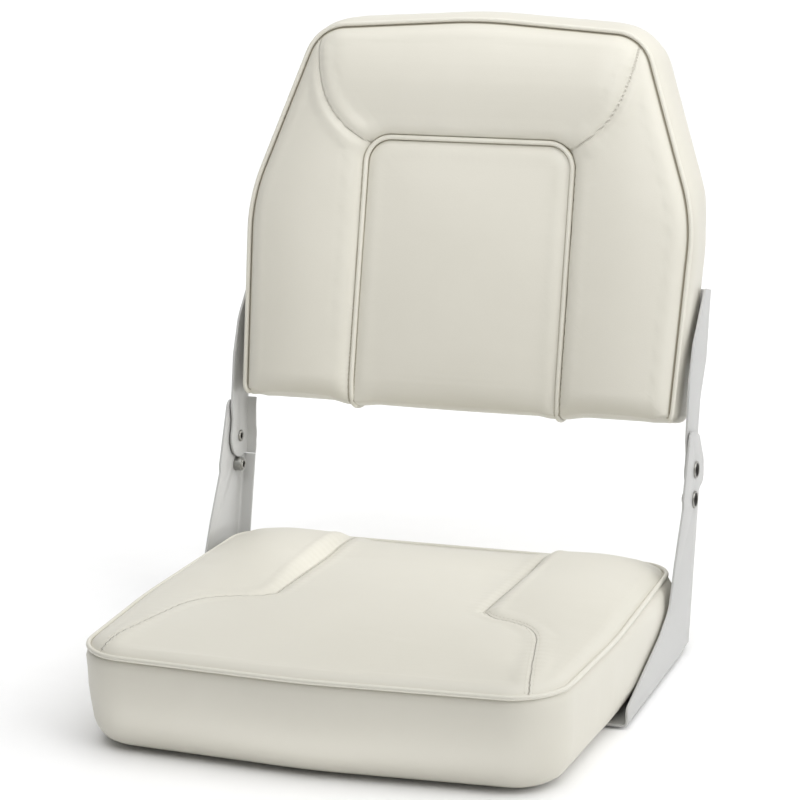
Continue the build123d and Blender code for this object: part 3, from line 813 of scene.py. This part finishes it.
class BoatSeatSettings(bpy.types.PropertyGroup):
    """Sizes and colours that a user may change."""

    vinyl_light: bpy.props.StringProperty(
        name="Vinyl", description="Main vinyl colour, as sRGB hex", default="#D6D3C8"
    )
    vinyl_dark: bpy.props.StringProperty(
        name="Vinyl mottle",
        description="Slightly darker vinyl tone, as sRGB hex",
        default="#D0CDC1",
    )
    bracket_colour: bpy.props.StringProperty(
        name="Brackets", description="Powder coat colour, as sRGB hex", default="#BDBDBB"
    )
    seat_crown: bpy.props.FloatProperty(
        name="Seat crown",
        description="Rise of the seat's top over its welt, in millimetres",
        default=11.0,
    )
    back_crown: bpy.props.FloatProperty(
        name="Back crown",
        description="Rise of the back's bolsters over the welt, in millimetres",
        default=12.0,
    )
    welt_radius: bpy.props.FloatProperty(
        name="Welt radius", description="Radius of the piping, in millimetres", default=1.95
    )
    stitch_pitch: bpy.props.FloatProperty(
        name="Stitch pitch", description="Distance between stitches, in millimetres", default=4.2
    )


# Cushions


def top_rings(rim, centre, height_of):
    """Rings from the welt seam in to the middle of a cushion's face."""
    rings, gaps = [], []
    for k in 1 - np.linspace(0, 1, FACE_RINGS + 1)[:-1] ** FACE_SPACING:
        plan = np.array(centre) + (rim - centre) * k
        height, *distances = height_of(plan)
        rings.append(ring_at(plan, height))
        gaps.append(np.column_stack(np.broadcast_arrays(*distances)))
    return rings, gaps


def sewn_values(side_gaps, top_gaps, count):
    """Distances from seam, panel piping and welt for a whole cover, as named values."""
    blank = np.zeros(count)
    sides = [
        np.column_stack([blank + FAR, blank + panel_gap, blank + welt_gap])
        for panel_gap, welt_gap in side_gaps
    ]
    ends = [np.full((2, 3), FAR)]
    table = np.vstack(sides + top_gaps + ends)
    return {"seam": table[:, 0], "panel_gap": table[:, 1], "welt_gap": table[:, 2]}


def nearest_places(points, wanted, count=1):
    """Index and distance of the nearest points to each wanted place."""
    tree = KDTree(len(points))
    for i, point in enumerate(points):
        tree.insert(point, i)
    tree.balance()
    found = [tree.find_n(place, count) for place in wanted]
    index = np.array([[hit[1] for hit in hits] for hits in found])
    reach = np.array([[hit[2] for hit in hits] for hits in found])
    return index, reach


def mesh_points(mesh):
    """Every vertex of a mesh, in metres."""
    flat = np.empty(len(mesh.vertices) * 3)
    mesh.vertices.foreach_get("co", flat)
    return flat.reshape(-1, 3)


def swollen(vertices, faces, freedom):
    """Blows the cover up as cloth held along its seams, and moves each point as its place moved."""
    scene = bpy.context.scene
    bag = closed_piece("cloth_trial", vertices, faces)
    remesh = bag.modifiers.new("even", "REMESH")
    remesh.mode = "VOXEL"
    remesh.voxel_size = SWELL_VOXEL * MM
    mesh = evaluated_mesh(bag)
    bag.modifiers.clear()
    bag.data = mesh
    before = mesh_points(mesh)
    normals = np.array([v.normal[:] for v in mesh.vertices])
    index, _ = nearest_places(vertices * MM, before)
    loose = freedom[index[:, 0]]
    small = before - normals * (SWELL_SHRINK * MM * loose)[:, None]
    mesh.vertices.foreach_set("co", small.ravel())
    mesh.update()
    held = bag.vertex_groups.new(name="held")
    for i, value in enumerate(loose):
        held.add([i], 1 - float(value), "REPLACE")
    cloth = bag.modifiers.new("swell", "CLOTH")
    cloth.settings.quality = 5
    cloth.settings.use_pressure = True
    cloth.settings.uniform_pressure_force = SWELL_PRESSURE
    cloth.settings.vertex_group_mass = "held"
    cloth.settings.effector_weights.gravity = 0.0
    cloth.collision_settings.use_collision = False
    cloth.point_cache.frame_start = 1
    cloth.point_cache.frame_end = SWELL_FRAMES
    for number in range(1, SWELL_FRAMES + 1):
        scene.frame_set(number)
    after = mesh_points(evaluated_mesh(bag))
    scene.frame_set(1)
    bpy.data.objects.remove(bag)
    moved = (after - before) / MM
    size = np.linalg.norm(moved, axis=1)
    moved *= (np.minimum(size, SWELL_CAP) / np.maximum(size, 1e-9))[:, None]
    index, reach = nearest_places(before, vertices * MM, NEIGHBOURS)
    weight = 1 / (reach + 0.5 * MM) ** 2
    weight /= weight.sum(axis=1)[:, None]
    shift = (moved[index] * weight[:, :, None]).sum(axis=1)
    return vertices + shift * freedom[:, None]


def seam_freedom(values):
    """How freely each point of a cover may swell: not at all on a seam or beside its piping."""
    piping = np.minimum(values["panel_gap"], values["welt_gap"])
    return between(np.minimum(np.abs(values["seam"]), piping), 1.5, 17.5)


def sewn_shape(rings, gaps, tops, loose, placed=np.array):
    """Vertices, faces and named values of a swollen cover that is loose from one height on."""
    vertices, faces = bridge(rings + tops[0])
    values = sewn_values(gaps, tops[1], len(rings[0]))
    freedom = seam_freedom(values) * between(vertices[:, 2], *loose)
    return swollen(placed(vertices), faces, freedom), faces, values


class OBJECT_OT_seat_upholstery(bpy.types.Operator):
    """Builds the seat's sewn vinyl cover, with its bolsters, sunk middle and turned-under hem"""

    bl_idname = "boat_seat.seat_upholstery"
    bl_label = "Seat upholstery"

    def execute(self, context):
        settings = context.scene.boat_seat
        _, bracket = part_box("lower_bracket_right")
        widest = bracket[0] / MM - BRACKET_PLATE - BRACKET_GAP
        rings = sections(seat_corners, SEAT_RADII, SEAT_HEM)
        gaps = [(FAR, FAR)] * len(SEAT_HEM)
        for height, inset in SEAT_SIDE[:-1]:
            plan = rounded_outline(seat_corners, SEAT_RADII, inset)
            across, share = np.abs(plan[:, 0]), height / SEAT_WELT_HEIGHT
            # The rear of each side swells until it nearly meets the bracket
            swell = SIDE_SWELL * between(plan[:, 1], -70, 40) * math.sin(math.pi * share)
            swell *= between(across, 150, 180) * between(plan[:, 1], 170, 150)
            wide = np.minimum(across + swell, np.maximum(widest, across))
            plan[:, 0] = np.sign(plan[:, 0]) * wide
            rings.append(ring_at(plan, height - plan[:, 1] * SEAT_FALL * share))
            gaps.append((FAR, max(0.0, SEAT_WELT_HEIGHT - WELT_REACH - height)))
        rim = rounded_outline(seat_corners, SEAT_RADII, SEAT_RIM)
        tops = top_rings(rim, SEAT_CENTRE, lambda plan: seat_height(plan, settings.seat_crown))
        shape = sewn_shape(rings, gaps, tops, SEAT_LOOSE)
        piece = closed_piece("seat_upholstery", *shape)
        finish_piece(piece, "vinyl", "seat", "vinyl", "seat_cover")
        return {"FINISHED"}


class OBJECT_OT_back_upholstery(bpy.types.Operator):
    """Builds the back's sewn vinyl cover, with its head roll, bolsters and sunk centre panel"""

    bl_idname = "boat_seat.back_upholstery"
    bl_label = "Back upholstery"

    def execute(self, context):
        settings = context.scene.boat_seat
        rings = sections(back_corners, BACK_RADII, BACK_HEM)
        gaps = [(FAR, FAR)] * len(BACK_HEM)
        for height, inset in BACK_SIDE[:-1]:
            plan = back_outline(inset, height - BACK_THICKNESS)
            rings.append(ring_at(plan, height - BACK_THICKNESS))
            share = bottom_share(plan)
            panel_gap = np.abs(np.abs(plan[:, 0]) - PANEL_HALF) - PIPING_EDGE + FAR * (1 - share)
            gaps.append((panel_gap, max(0.0, BACK_THICKNESS - WELT_REACH - height) + FAR * share))
        rim = back_outline(BACK_RIM, 0.0)
        tops = top_rings(rim, BACK_CENTRE, lambda plan: back_height(plan, settings.back_crown))
        shape = sewn_shape(rings, gaps, tops, BACK_LOOSE, back_point)
        piece = closed_piece("back_upholstery", *shape)
        finish_piece(piece, "vinyl", "backrest", "vinyl", "back_cover")
        return {"FINISHED"}


class OBJECT_OT_rear_panel(bpy.types.Operator):
    """Builds the flat vinyl panel that closes the rear of the back"""

    bl_idname = "boat_seat.rear_panel"
    bl_label = "Rear panel"

    def execute(self, context):
        vertices, faces = bridge(sections(back_corners, BACK_RADII, CLOSING_PANEL))
        plain = np.full(len(vertices), FAR)
        values = {"seam": plain, "panel_gap": plain, "welt_gap": plain}
        piece = closed_piece("back_closing_panel", back_point(vertices), faces, values)
        finish_piece(piece, "vinyl", "backrest", "vinyl", "back_rear_panel")
        return {"FINISHED"}


def opened(ring, kept):
    """The part of a ring that is kept, as a line."""
    ring = ring[kept]
    gaps = np.linalg.norm(np.diff(ring, axis=0, append=ring[:1]), axis=1)
    return np.roll(ring, -int(np.argmax(gaps)) - 1, axis=0)


class OBJECT_OT_piping(bpy.types.Operator):
    """Builds the welts round both cushions and the piping round the centre panel"""

    bl_idname = "boat_seat.piping"
    bl_label = "Piping"

    def execute(self, context):
        radius = context.scene.boat_seat.welt_radius
        path = ring_at(seat_ring, seat_welt_plane(seat_ring[:, 1]))
        vertices, faces = tube(path, radius)
        piece = closed_piece("seat_piping", vertices, faces)
        finish_piece(piece, "welt", "seat", "welt", "seat_welt")

        # The back's welt tucks under at both bottom corners
        ring = rounded_outline(back_corners, BACK_RADII)
        up, across = WELT_END
        line = ring_at(opened(ring, (ring[:, 1] > up) | (np.abs(ring[:, 0]) > across)), 0.0)
        side = math.copysign(1.0, line[0, 0])
        first = [(side * x, up, out) for x, up, out in reversed(WELT_TUCK)]
        last = [(-side * x, up, out) for x, up, out in WELT_TUCK]
        path = smooth_line(np.vstack([first, line[2:-2:3], last]), PIPING_STEP)
        vertices, faces = tube(path, radius, closed=False)
        piece = closed_piece("back_piping", back_point(vertices), faces)
        finish_piece(piece, "welt", "backrest", "welt", "back_welt")

        # The panel piping runs down both sides and follows the rolled bottom under the back
        line = opened(panel_ring, panel_ring[:, 1] > WELT_END[0])
        first = [(line[0, 0] - flare, up, out) for flare, up, out in reversed(PANEL_PIPING_ENDS)]
        last = [(line[-1, 0] + flare, up, out) for flare, up, out in PANEL_PIPING_ENDS]
        path = np.vstack([first, ring_at(line, PANEL_PIPING_OUT), last])
        vertices, faces = tube(smooth_line(path, PIPING_STEP), radius + 0.1, closed=False)
        piece = closed_piece("panel_piping", back_point(vertices), faces)
        finish_piece(piece, "welt", "backrest", "welt", "back_center_piping")
        return {"FINISHED"}


class OBJECT_OT_foam_blocks(bpy.types.Operator):
    """Builds the foam blocks inside the covers, with softly rounded edges"""

    bl_idname = "boat_seat.foam_blocks"
    bl_label = "Foam blocks"

    def execute(self, context):
        rings = []
        for height, inset in SEAT_FOAM:
            plan = rounded_outline(seat_corners, SEAT_RADII, inset)
            tilt = SEAT_FALL * height / SEAT_WELT_HEIGHT
            rings.append(ring_at(plan, height - plan[:, 1] * tilt))
        vertices, faces = bridge(rings)
        piece = closed_piece("seat_foam_block", vertices, faces)
        finish_piece(piece, "foam", "seat", "foam", "seat_foam")

        vertices, faces = bridge(sections(back_corners, BACK_RADII, BACK_FOAM))
        piece = closed_piece("back_foam_block", back_point(vertices), faces)
        finish_piece(piece, "foam", "backrest", "foam", "back_foam")
        return {"FINISHED"}


# Hardware


def dressed_copy(node, name, finish, body, slot, width):
    """A CAD node's shape with its loose triangles merged and its edges eased by a width."""
    mesh = bmesh.new()
    mesh.from_mesh(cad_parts[node].data)
    bmesh.ops.remove_doubles(mesh, verts=mesh.verts, dist=2e-6)
    bmesh.ops.dissolve_limit(
        mesh, angle_limit=math.radians(1.0), verts=mesh.verts, edges=mesh.edges
    )
    data = bpy.data.meshes.new(name)
    mesh.to_mesh(data)
    mesh.free()
    piece = new_object(name, data)
    bevel = piece.modifiers.new("eased_edges", "BEVEL")
    bevel.width = width * MM
    bevel.segments = 2
    bevel.limit_method = "ANGLE"
    bevel.angle_limit = math.radians(40)
    data = evaluated_mesh(piece)
    piece.modifiers.clear()
    piece.data = data
    data.name = name
    data.shade_smooth()
    data.set_sharp_from_angle(angle=math.radians(32))
    return finish_piece(piece, finish, body, slot, node)


def lathe_mesh(profile):
    """Vertices and faces of a shape turned about +Z from (radius, height) pairs."""
    a = np.linspace(0, 2 * math.pi, RIVET_TURNS, endpoint=False)
    circle = np.column_stack([np.cos(a), np.sin(a)])
    return bridge([ring_at(circle * radius, height) for radius, height in profile])


def rivet_profile(shank, half):
    """Radius and place along a rivet from its split tail to its rolled head."""
    tail = [(0.01, 2.4), (2.0, 2.2), (2.5, 0.9), (3.1, 0.3), (3.9, 0.0), (4.6, 0.3), (5.0, 0.9)]
    tail += [(5.0, 1.6), (shank, 1.6)]
    head = [(shank, 1.5), (7.0, 1.5), (7.2, 1.0), (7.0, 0.3), (6.5, 0.0), (6.0, 0.15), (5.4, 0.6)]
    head += [(4.4, 1.1), (2.9, 1.5), (2.4, 3.0), (0.01, 3.2)]
    return [(r, deep - half) for r, deep in tail] + [(r, half - deep) for r, deep in head]


class OBJECT_OT_brackets(bpy.types.Operator):
    """Dresses the pressed brackets and arms with eased, powder-coated edges"""

    bl_idname = "boat_seat.brackets"
    bl_label = "Brackets and arms"

    def execute(self, context):
        for side in ("left", "right"):
            for node, name, body in (
                ("lower_bracket", "seat_bracket", "seat"),
                ("upper_arm", "back_arm", "backrest"),
            ):
                dressed_copy(f"{node}_{side}", f"{name}_{side}", "coat", body, "bracket", 0.4)
        return {"FINISHED"}


class OBJECT_OT_rivets(bpy.types.Operator):
    """Builds the pivot and stop rivets with their rolled heads and hollow middles"""

    bl_idname = "boat_seat.rivets"
    bl_label = "Rivets"

    def execute(self, context):
        for side, sign in (("left", -1), ("right", 1)):
            for kind, shank in RIVET_SHANKS:
                low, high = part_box(f"{kind}_{side}")
                profile = rivet_profile(shank, (high[0] - low[0]) / MM / 2)
                vertices, faces = lathe_mesh(profile)
                rows = np.repeat(np.arange(len(profile)), RIVET_TURNS)
                rows = np.append(rows, (0, len(profile) - 1))
                # Painted shade in the hollows: before the tail's third point and after the head's
                # fifteenth
                hollow = ((rows < 3) | (rows > 14)).astype(float)
                # The tail was split into four petals when it was set
                quarter = np.arctan2(vertices[:, 1], vertices[:, 0]) / (math.pi / 2)
                split = bell(np.abs(quarter % 1 - 0.5), 0.07)
                petals = 1 - PETAL_DEPTH * split * ((rows > 1) & (rows < 8))
                vertices[:, :2] *= petals[:, None]
                across, up, along = vertices.T
                turned = np.column_stack([along * sign, across, up * sign])
                turned += np.array([(a + b) / 2 / MM for a, b in zip(low, high)])
                piece = closed_piece(f"{kind}_head_{side}", turned, faces, {"hollow": hollow})
                piece.data.set_sharp_from_angle(angle=math.radians(50))
                finish_piece(piece, "rivet", "seat", "zinc", f"{kind}_{side}")
        return {"FINISHED"}


class OBJECT_OT_small_hardware(bpy.types.Operator):
    """Dresses the washers, sleeves, screws and threaded inserts"""

    bl_idname = "boat_seat.small_hardware"
    bl_label = "Washers, sleeves, screws and inserts"

    def execute(self, context):
        for side in ("left", "right"):
            for node, name, body, width in (
                ("pivot_washer", "pivot_shim", "seat", 0.1),
                ("stop_sleeve", "stop_roller", "seat", 0.3),
                ("bracket_screws", "seat_screws", "seat", 0.3),
                ("arm_screws", "back_screws", "backrest", 0.3),
            ):
                dressed_copy(f"{node}_{side}", f"{name}_{side}", "zinc", body, "zinc", width)
        dressed_copy("seat_threaded_inserts", "tee_nuts", "zinc", "seat", "zinc", 0.2)
        return {"FINISHED"}


class OBJECT_OT_boards(bpy.types.Operator):
    """Gives both boards their plywood finish"""

    bl_idname = "boat_seat.boards"
    bl_label = "Boards"

    def execute(self, context):
        for node in ("seat_board", "back_board"):
            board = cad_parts[node]
            board.data.materials.clear()
            board.data.materials.append(shared_material("wood"))
        return {"FINISHED"}


# Stitches and staples


def pattern_tree(name, sizes, finish):
    """A Geometry Nodes tree that lays small rounded bars end to end along a curve."""
    tree = bpy.data.node_groups.new(name, "GeometryNodeTree")
    interface = tree.interface
    interface.new_socket("Geometry", in_out="INPUT", socket_type="NodeSocketGeometry")
    for label, default in sizes.items():
        socket = interface.new_socket(label, in_out="INPUT", socket_type="NodeSocketFloat")
        socket.default_value = default
        socket.subtype = "DISTANCE"
    interface.new_socket("Geometry", in_out="OUTPUT", socket_type="NodeSocketGeometry")
    entry = add_node(tree, "NodeGroupInput").outputs
    places = {"Curve": entry["Geometry"], "Length": entry["Pitch"]}
    points = add_node(tree, "GeometryNodeResampleCurve", {"mode": "LENGTH"}, places)
    ball = {"Segments": 8, "Rings": 6, "Radius": 0.5}
    bar = add_node(tree, "GeometryNodeMeshUVSphere", None, ball)
    axes = {"X": entry["Thickness"], "Y": entry["Thickness"], "Z": entry["Length"]}
    size = add_node(tree, "ShaderNodeCombineXYZ", None, axes)
    ahead = {"Vector": add_node(tree, "GeometryNodeInputTangent").outputs[0]}
    aim = add_node(tree, "FunctionNodeAlignRotationToVector", {"axis": "Z"}, ahead)
    inputs = {
        "Points": points.outputs[0],
        "Instance": bar.outputs["Mesh"],
        "Rotation": aim.outputs[0],
        "Scale": size.outputs[0],
    }
    last = add_node(tree, "GeometryNodeInstanceOnPoints", None, inputs).outputs[0]
    for kind, inputs in (
        ("GeometryNodeSetShadeSmooth", {}),
        ("GeometryNodeRealizeInstances", {}),
        ("GeometryNodeSetMaterial", {"Material": shared_material(finish)}),
    ):
        last = add_node(tree, kind, None, {"Geometry": last, **inputs}).outputs[0]
    add_node(tree, "NodeGroupOutput", None, {"Geometry": last})
    return tree


def rows_along(name, lines, tree, sizes, finish, body, slot):
    """One mesh of everything that a tree lays along the given lines, in millimetres."""
    curve = bpy.data.curves.new(name + "_path", "CURVE")
    curve.dimensions = "3D"
    for line in lines:
        spline = curve.splines.new("POLY")
        spline.points.add(len(line) - 1)
        spline.points.foreach_set("co", ring_at(np.array(line) * MM, 1.0).ravel())
    guide = new_object(name + "_path", curve)
    layer = guide.modifiers.new("rows", "NODES")
    layer.node_group = tree
    for item in tree.interface.items_tree:
        if item.in_out == "INPUT" and item.name in sizes:
            layer[item.identifier] = sizes[item.name]
    mesh = evaluated_mesh(guide)
    bpy.data.objects.remove(guide)
    mesh.name = name
    return finish_piece(new_object(name, mesh), finish, body, slot)


def sewn_run(line, shift, ends, sign):
    """A seam moved sideways by the shift, cut to its ends and put on the side of the sign."""
    ahead = np.gradient(line, axis=0)
    ahead /= np.linalg.norm(ahead, axis=1)[:, None]
    line = line + np.column_stack([ahead[:, 1], -ahead[:, 0]]) * shift
    return line[(line[:, 1] > ends[0]) & (line[:, 1] < ends[1])] * np.array([sign, 1])


class OBJECT_OT_stitches(bpy.types.Operator):
    """Sews the topstitching beside the seat's and the back's curved seams"""

    bl_idname = "boat_seat.stitches"
    bl_label = "Stitches"

    def execute(self, context):
        sizes = {
            "Length": STITCH_LENGTH * MM,
            "Thickness": STITCH_THICKNESS * MM,
            "Pitch": context.scene.boat_seat.stitch_pitch * MM,
        }
        tree = pattern_tree("stitch_rows", sizes, "thread")
        seat_lines, back_lines = [], []
        for sign in (1, -1):
            for shift in (-SEAT_STITCH_GAP, SEAT_STITCH_GAP):
                line = sewn_run(seat_seam_right, shift, SEAT_STITCH_ENDS[sign], sign)
                seat_lines.append(ring_at(line, seat_height(line)[0] + THREAD_LIFT))
            for shift in (-BACK_STITCH_GAP, BACK_STITCH_GAP):
                line = sewn_run(crest_seam_right, shift, BACK_STITCH_ENDS, sign)
                lifted = ring_at(line, back_height(line)[0] + THREAD_LIFT)
                back_lines.append(back_point(lifted))
        rows_along("seat_stitches", seat_lines, tree, sizes, "thread", "seat", "vinyl")
        rows_along("back_stitches", back_lines, tree, sizes, "thread", "backrest", "vinyl")
        return {"FINISHED"}


class OBJECT_OT_staples(bpy.types.Operator):
    """Drives the staples that hold the turned-under hem to the seat board"""

    bl_idname = "boat_seat.staples"
    bl_label = "Staples"

    def execute(self, context):
        sizes = {
            "Length": STAPLE_LENGTH * MM,
            "Thickness": STAPLE_THICKNESS * MM,
            "Pitch": STAPLE_PITCH * MM,
        }
        tree = pattern_tree("staple_row", sizes, "zinc")
        ring = rounded_outline(seat_corners, SEAT_RADII, STAPLE_INSET)
        line = ring_at(ring, STAPLE_HEIGHT)
        low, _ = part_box("lower_bracket_right")
        hidden = np.abs(line[:, 0]) > low[0] / MM - STAPLE_CLEAR[0]
        hidden &= line[:, 1] > low[1] / MM - STAPLE_CLEAR[1]
        front = line[~hidden & (line[:, 1] < 0)]
        rear = line[~hidden & (line[:, 1] > 0)]
        order = np.argsort(np.arctan2(front[:, 0], -front[:, 1]))
        rows = [front[order]]
        if len(rear) > 3:
            rows.append(rear[np.argsort(rear[:, 0])])
        rows_along("hem_staples", rows, tree, sizes, "zinc", "seat", "zinc")
        return {"FINISHED"}


# Studio


class OBJECT_OT_studio(bpy.types.Operator):
    """Sets the camera, the pale floor and the soft lights"""

    bl_idname = "boat_seat.studio"
    bl_label = "Studio"

    def execute(self, context):
        scene = context.scene
        low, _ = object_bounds()
        reach, height = FLOOR_HALF / MM, low[2] / MM
        around = ((-1, -1), (1, -1), (1, 1), (-1, 1))
        corners = [(x * reach, y * reach, height) for x, y in around]
        floor = make_mesh("studio_floor", corners, [(0, 1, 2, 3)], smooth=False)
        floor.data.materials.append(studio_floor("studio_paper"))
        floor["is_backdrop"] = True

        azimuth, elevation, roll = (
            math.radians(a) for a in (CAMERA_AZIMUTH, CAMERA_ELEVATION, CAMERA_ROLL)
        )
        right = Vector((math.cos(azimuth), math.sin(azimuth), 0))
        level = Vector((math.sin(azimuth), -math.cos(azimuth), 0))
        backwards = level * math.cos(elevation) + Vector((0, 0, math.sin(elevation)))
        up = backwards.cross(right)
        right, up = (
            right * math.cos(roll) + up * math.sin(roll),
            up * math.cos(roll) - right * math.sin(roll),
        )
        data = bpy.data.cameras.new("photo_camera")
        data.sensor_width = SENSOR_WIDTH
        data.lens = FOCAL_PIXELS / PHOTO_PIXELS * SENSOR_WIDTH
        data.shift_x = CAMERA_SHIFT
        camera = new_object("photo_camera", data)
        turn = Matrix((right, up, backwards)).transposed().to_4x4()
        camera.matrix_world = Matrix.Translation(Vector(CAMERA_PLACE)) @ turn
        scene.camera = camera

        world = bpy.data.worlds.new("studio_surround")
        world.use_nodes = True
        tree = world.node_tree
        sky = tree.nodes["Background"]
        sky.inputs["Color"].default_value = (1, 1, 1, 1)
        # The surround brightens towards its rear wall and is dim elsewhere
        place = add_node(tree, "ShaderNodeTexCoord").outputs["Generated"]
        kind, inputs = "ShaderNodeVectorMath", {0: place, 1: (0, 0, 0)}
        inputs = {0: add_node(tree, kind, {"operation": "MAXIMUM"}, inputs).outputs[0], 1: WALLS}
        walls = add_node(tree, kind, {"operation": "DOT_PRODUCT"}, inputs).outputs["Value"]
        tree.links.new(maths(tree, "ADD", walls, SURROUND), sky.inputs["Strength"])
        scene.world = world
        for name, place, aim, size, spread, power in LIGHTS:
            lamp = bpy.data.lights.new(name, "AREA" if place else "SUN")
            lamp.energy = power
            holder = new_object(name, lamp)
            if place:
                lamp.shape = "RECTANGLE"
                lamp.size, lamp.size_y = size
                lamp.spread = math.radians(spread)
                holder.location = place
                holder.visible_camera = False
            else:
                lamp.angle = math.radians(spread)
            direction = Vector(aim) - Vector(place or (0, 0, 0))
            holder.rotation_euler = direction.to_track_quat("-Z", "Y").to_euler()
        scene.view_settings.view_transform = "Standard"
        return {"FINISHED"}


class VIEW3D_PT_boat_seat(bpy.types.Panel):
    """Lists the seat's pieces in the sidebar"""

    bl_label = "Boat Seat"
    bl_idname = "VIEW3D_PT_boat_seat"
    bl_space_type = "VIEW_3D"
    bl_region_type = "UI"
    bl_category = "Boat Seat"

    def draw(self, context):
        settings = context.scene.boat_seat
        for key in settings.bl_rna.properties.keys():
            if key not in ("rna_type", "name"):
                self.layout.prop(settings, key)
        for operator in OPERATORS:
            self.layout.operator(operator.bl_idname)


OPERATORS = (
    OBJECT_OT_seat_upholstery,
    OBJECT_OT_back_upholstery,
    OBJECT_OT_rear_panel,
    OBJECT_OT_piping,
    OBJECT_OT_foam_blocks,
    OBJECT_OT_brackets,
    OBJECT_OT_rivets,
    OBJECT_OT_small_hardware,
    OBJECT_OT_boards,
    OBJECT_OT_stitches,
    OBJECT_OT_staples,
    OBJECT_OT_studio,
)
CLASSES = (BoatSeatSettings, *OPERATORS, VIEW3D_PT_boat_seat)


def register():
    for item in CLASSES:
        bpy.utils.register_class(item)
    bpy.types.Scene.boat_seat = bpy.props.PointerProperty(type=BoatSeatSettings)


def unregister():
    del bpy.types.Scene.boat_seat
    for item in reversed(CLASSES):
        bpy.utils.unregister_class(item)


def main():
    register()
    for operator in OPERATORS:
        group, name = operator.bl_idname.split(".")
        getattr(getattr(bpy.ops, group), name)()


if __name__ == "__main__":
    main()
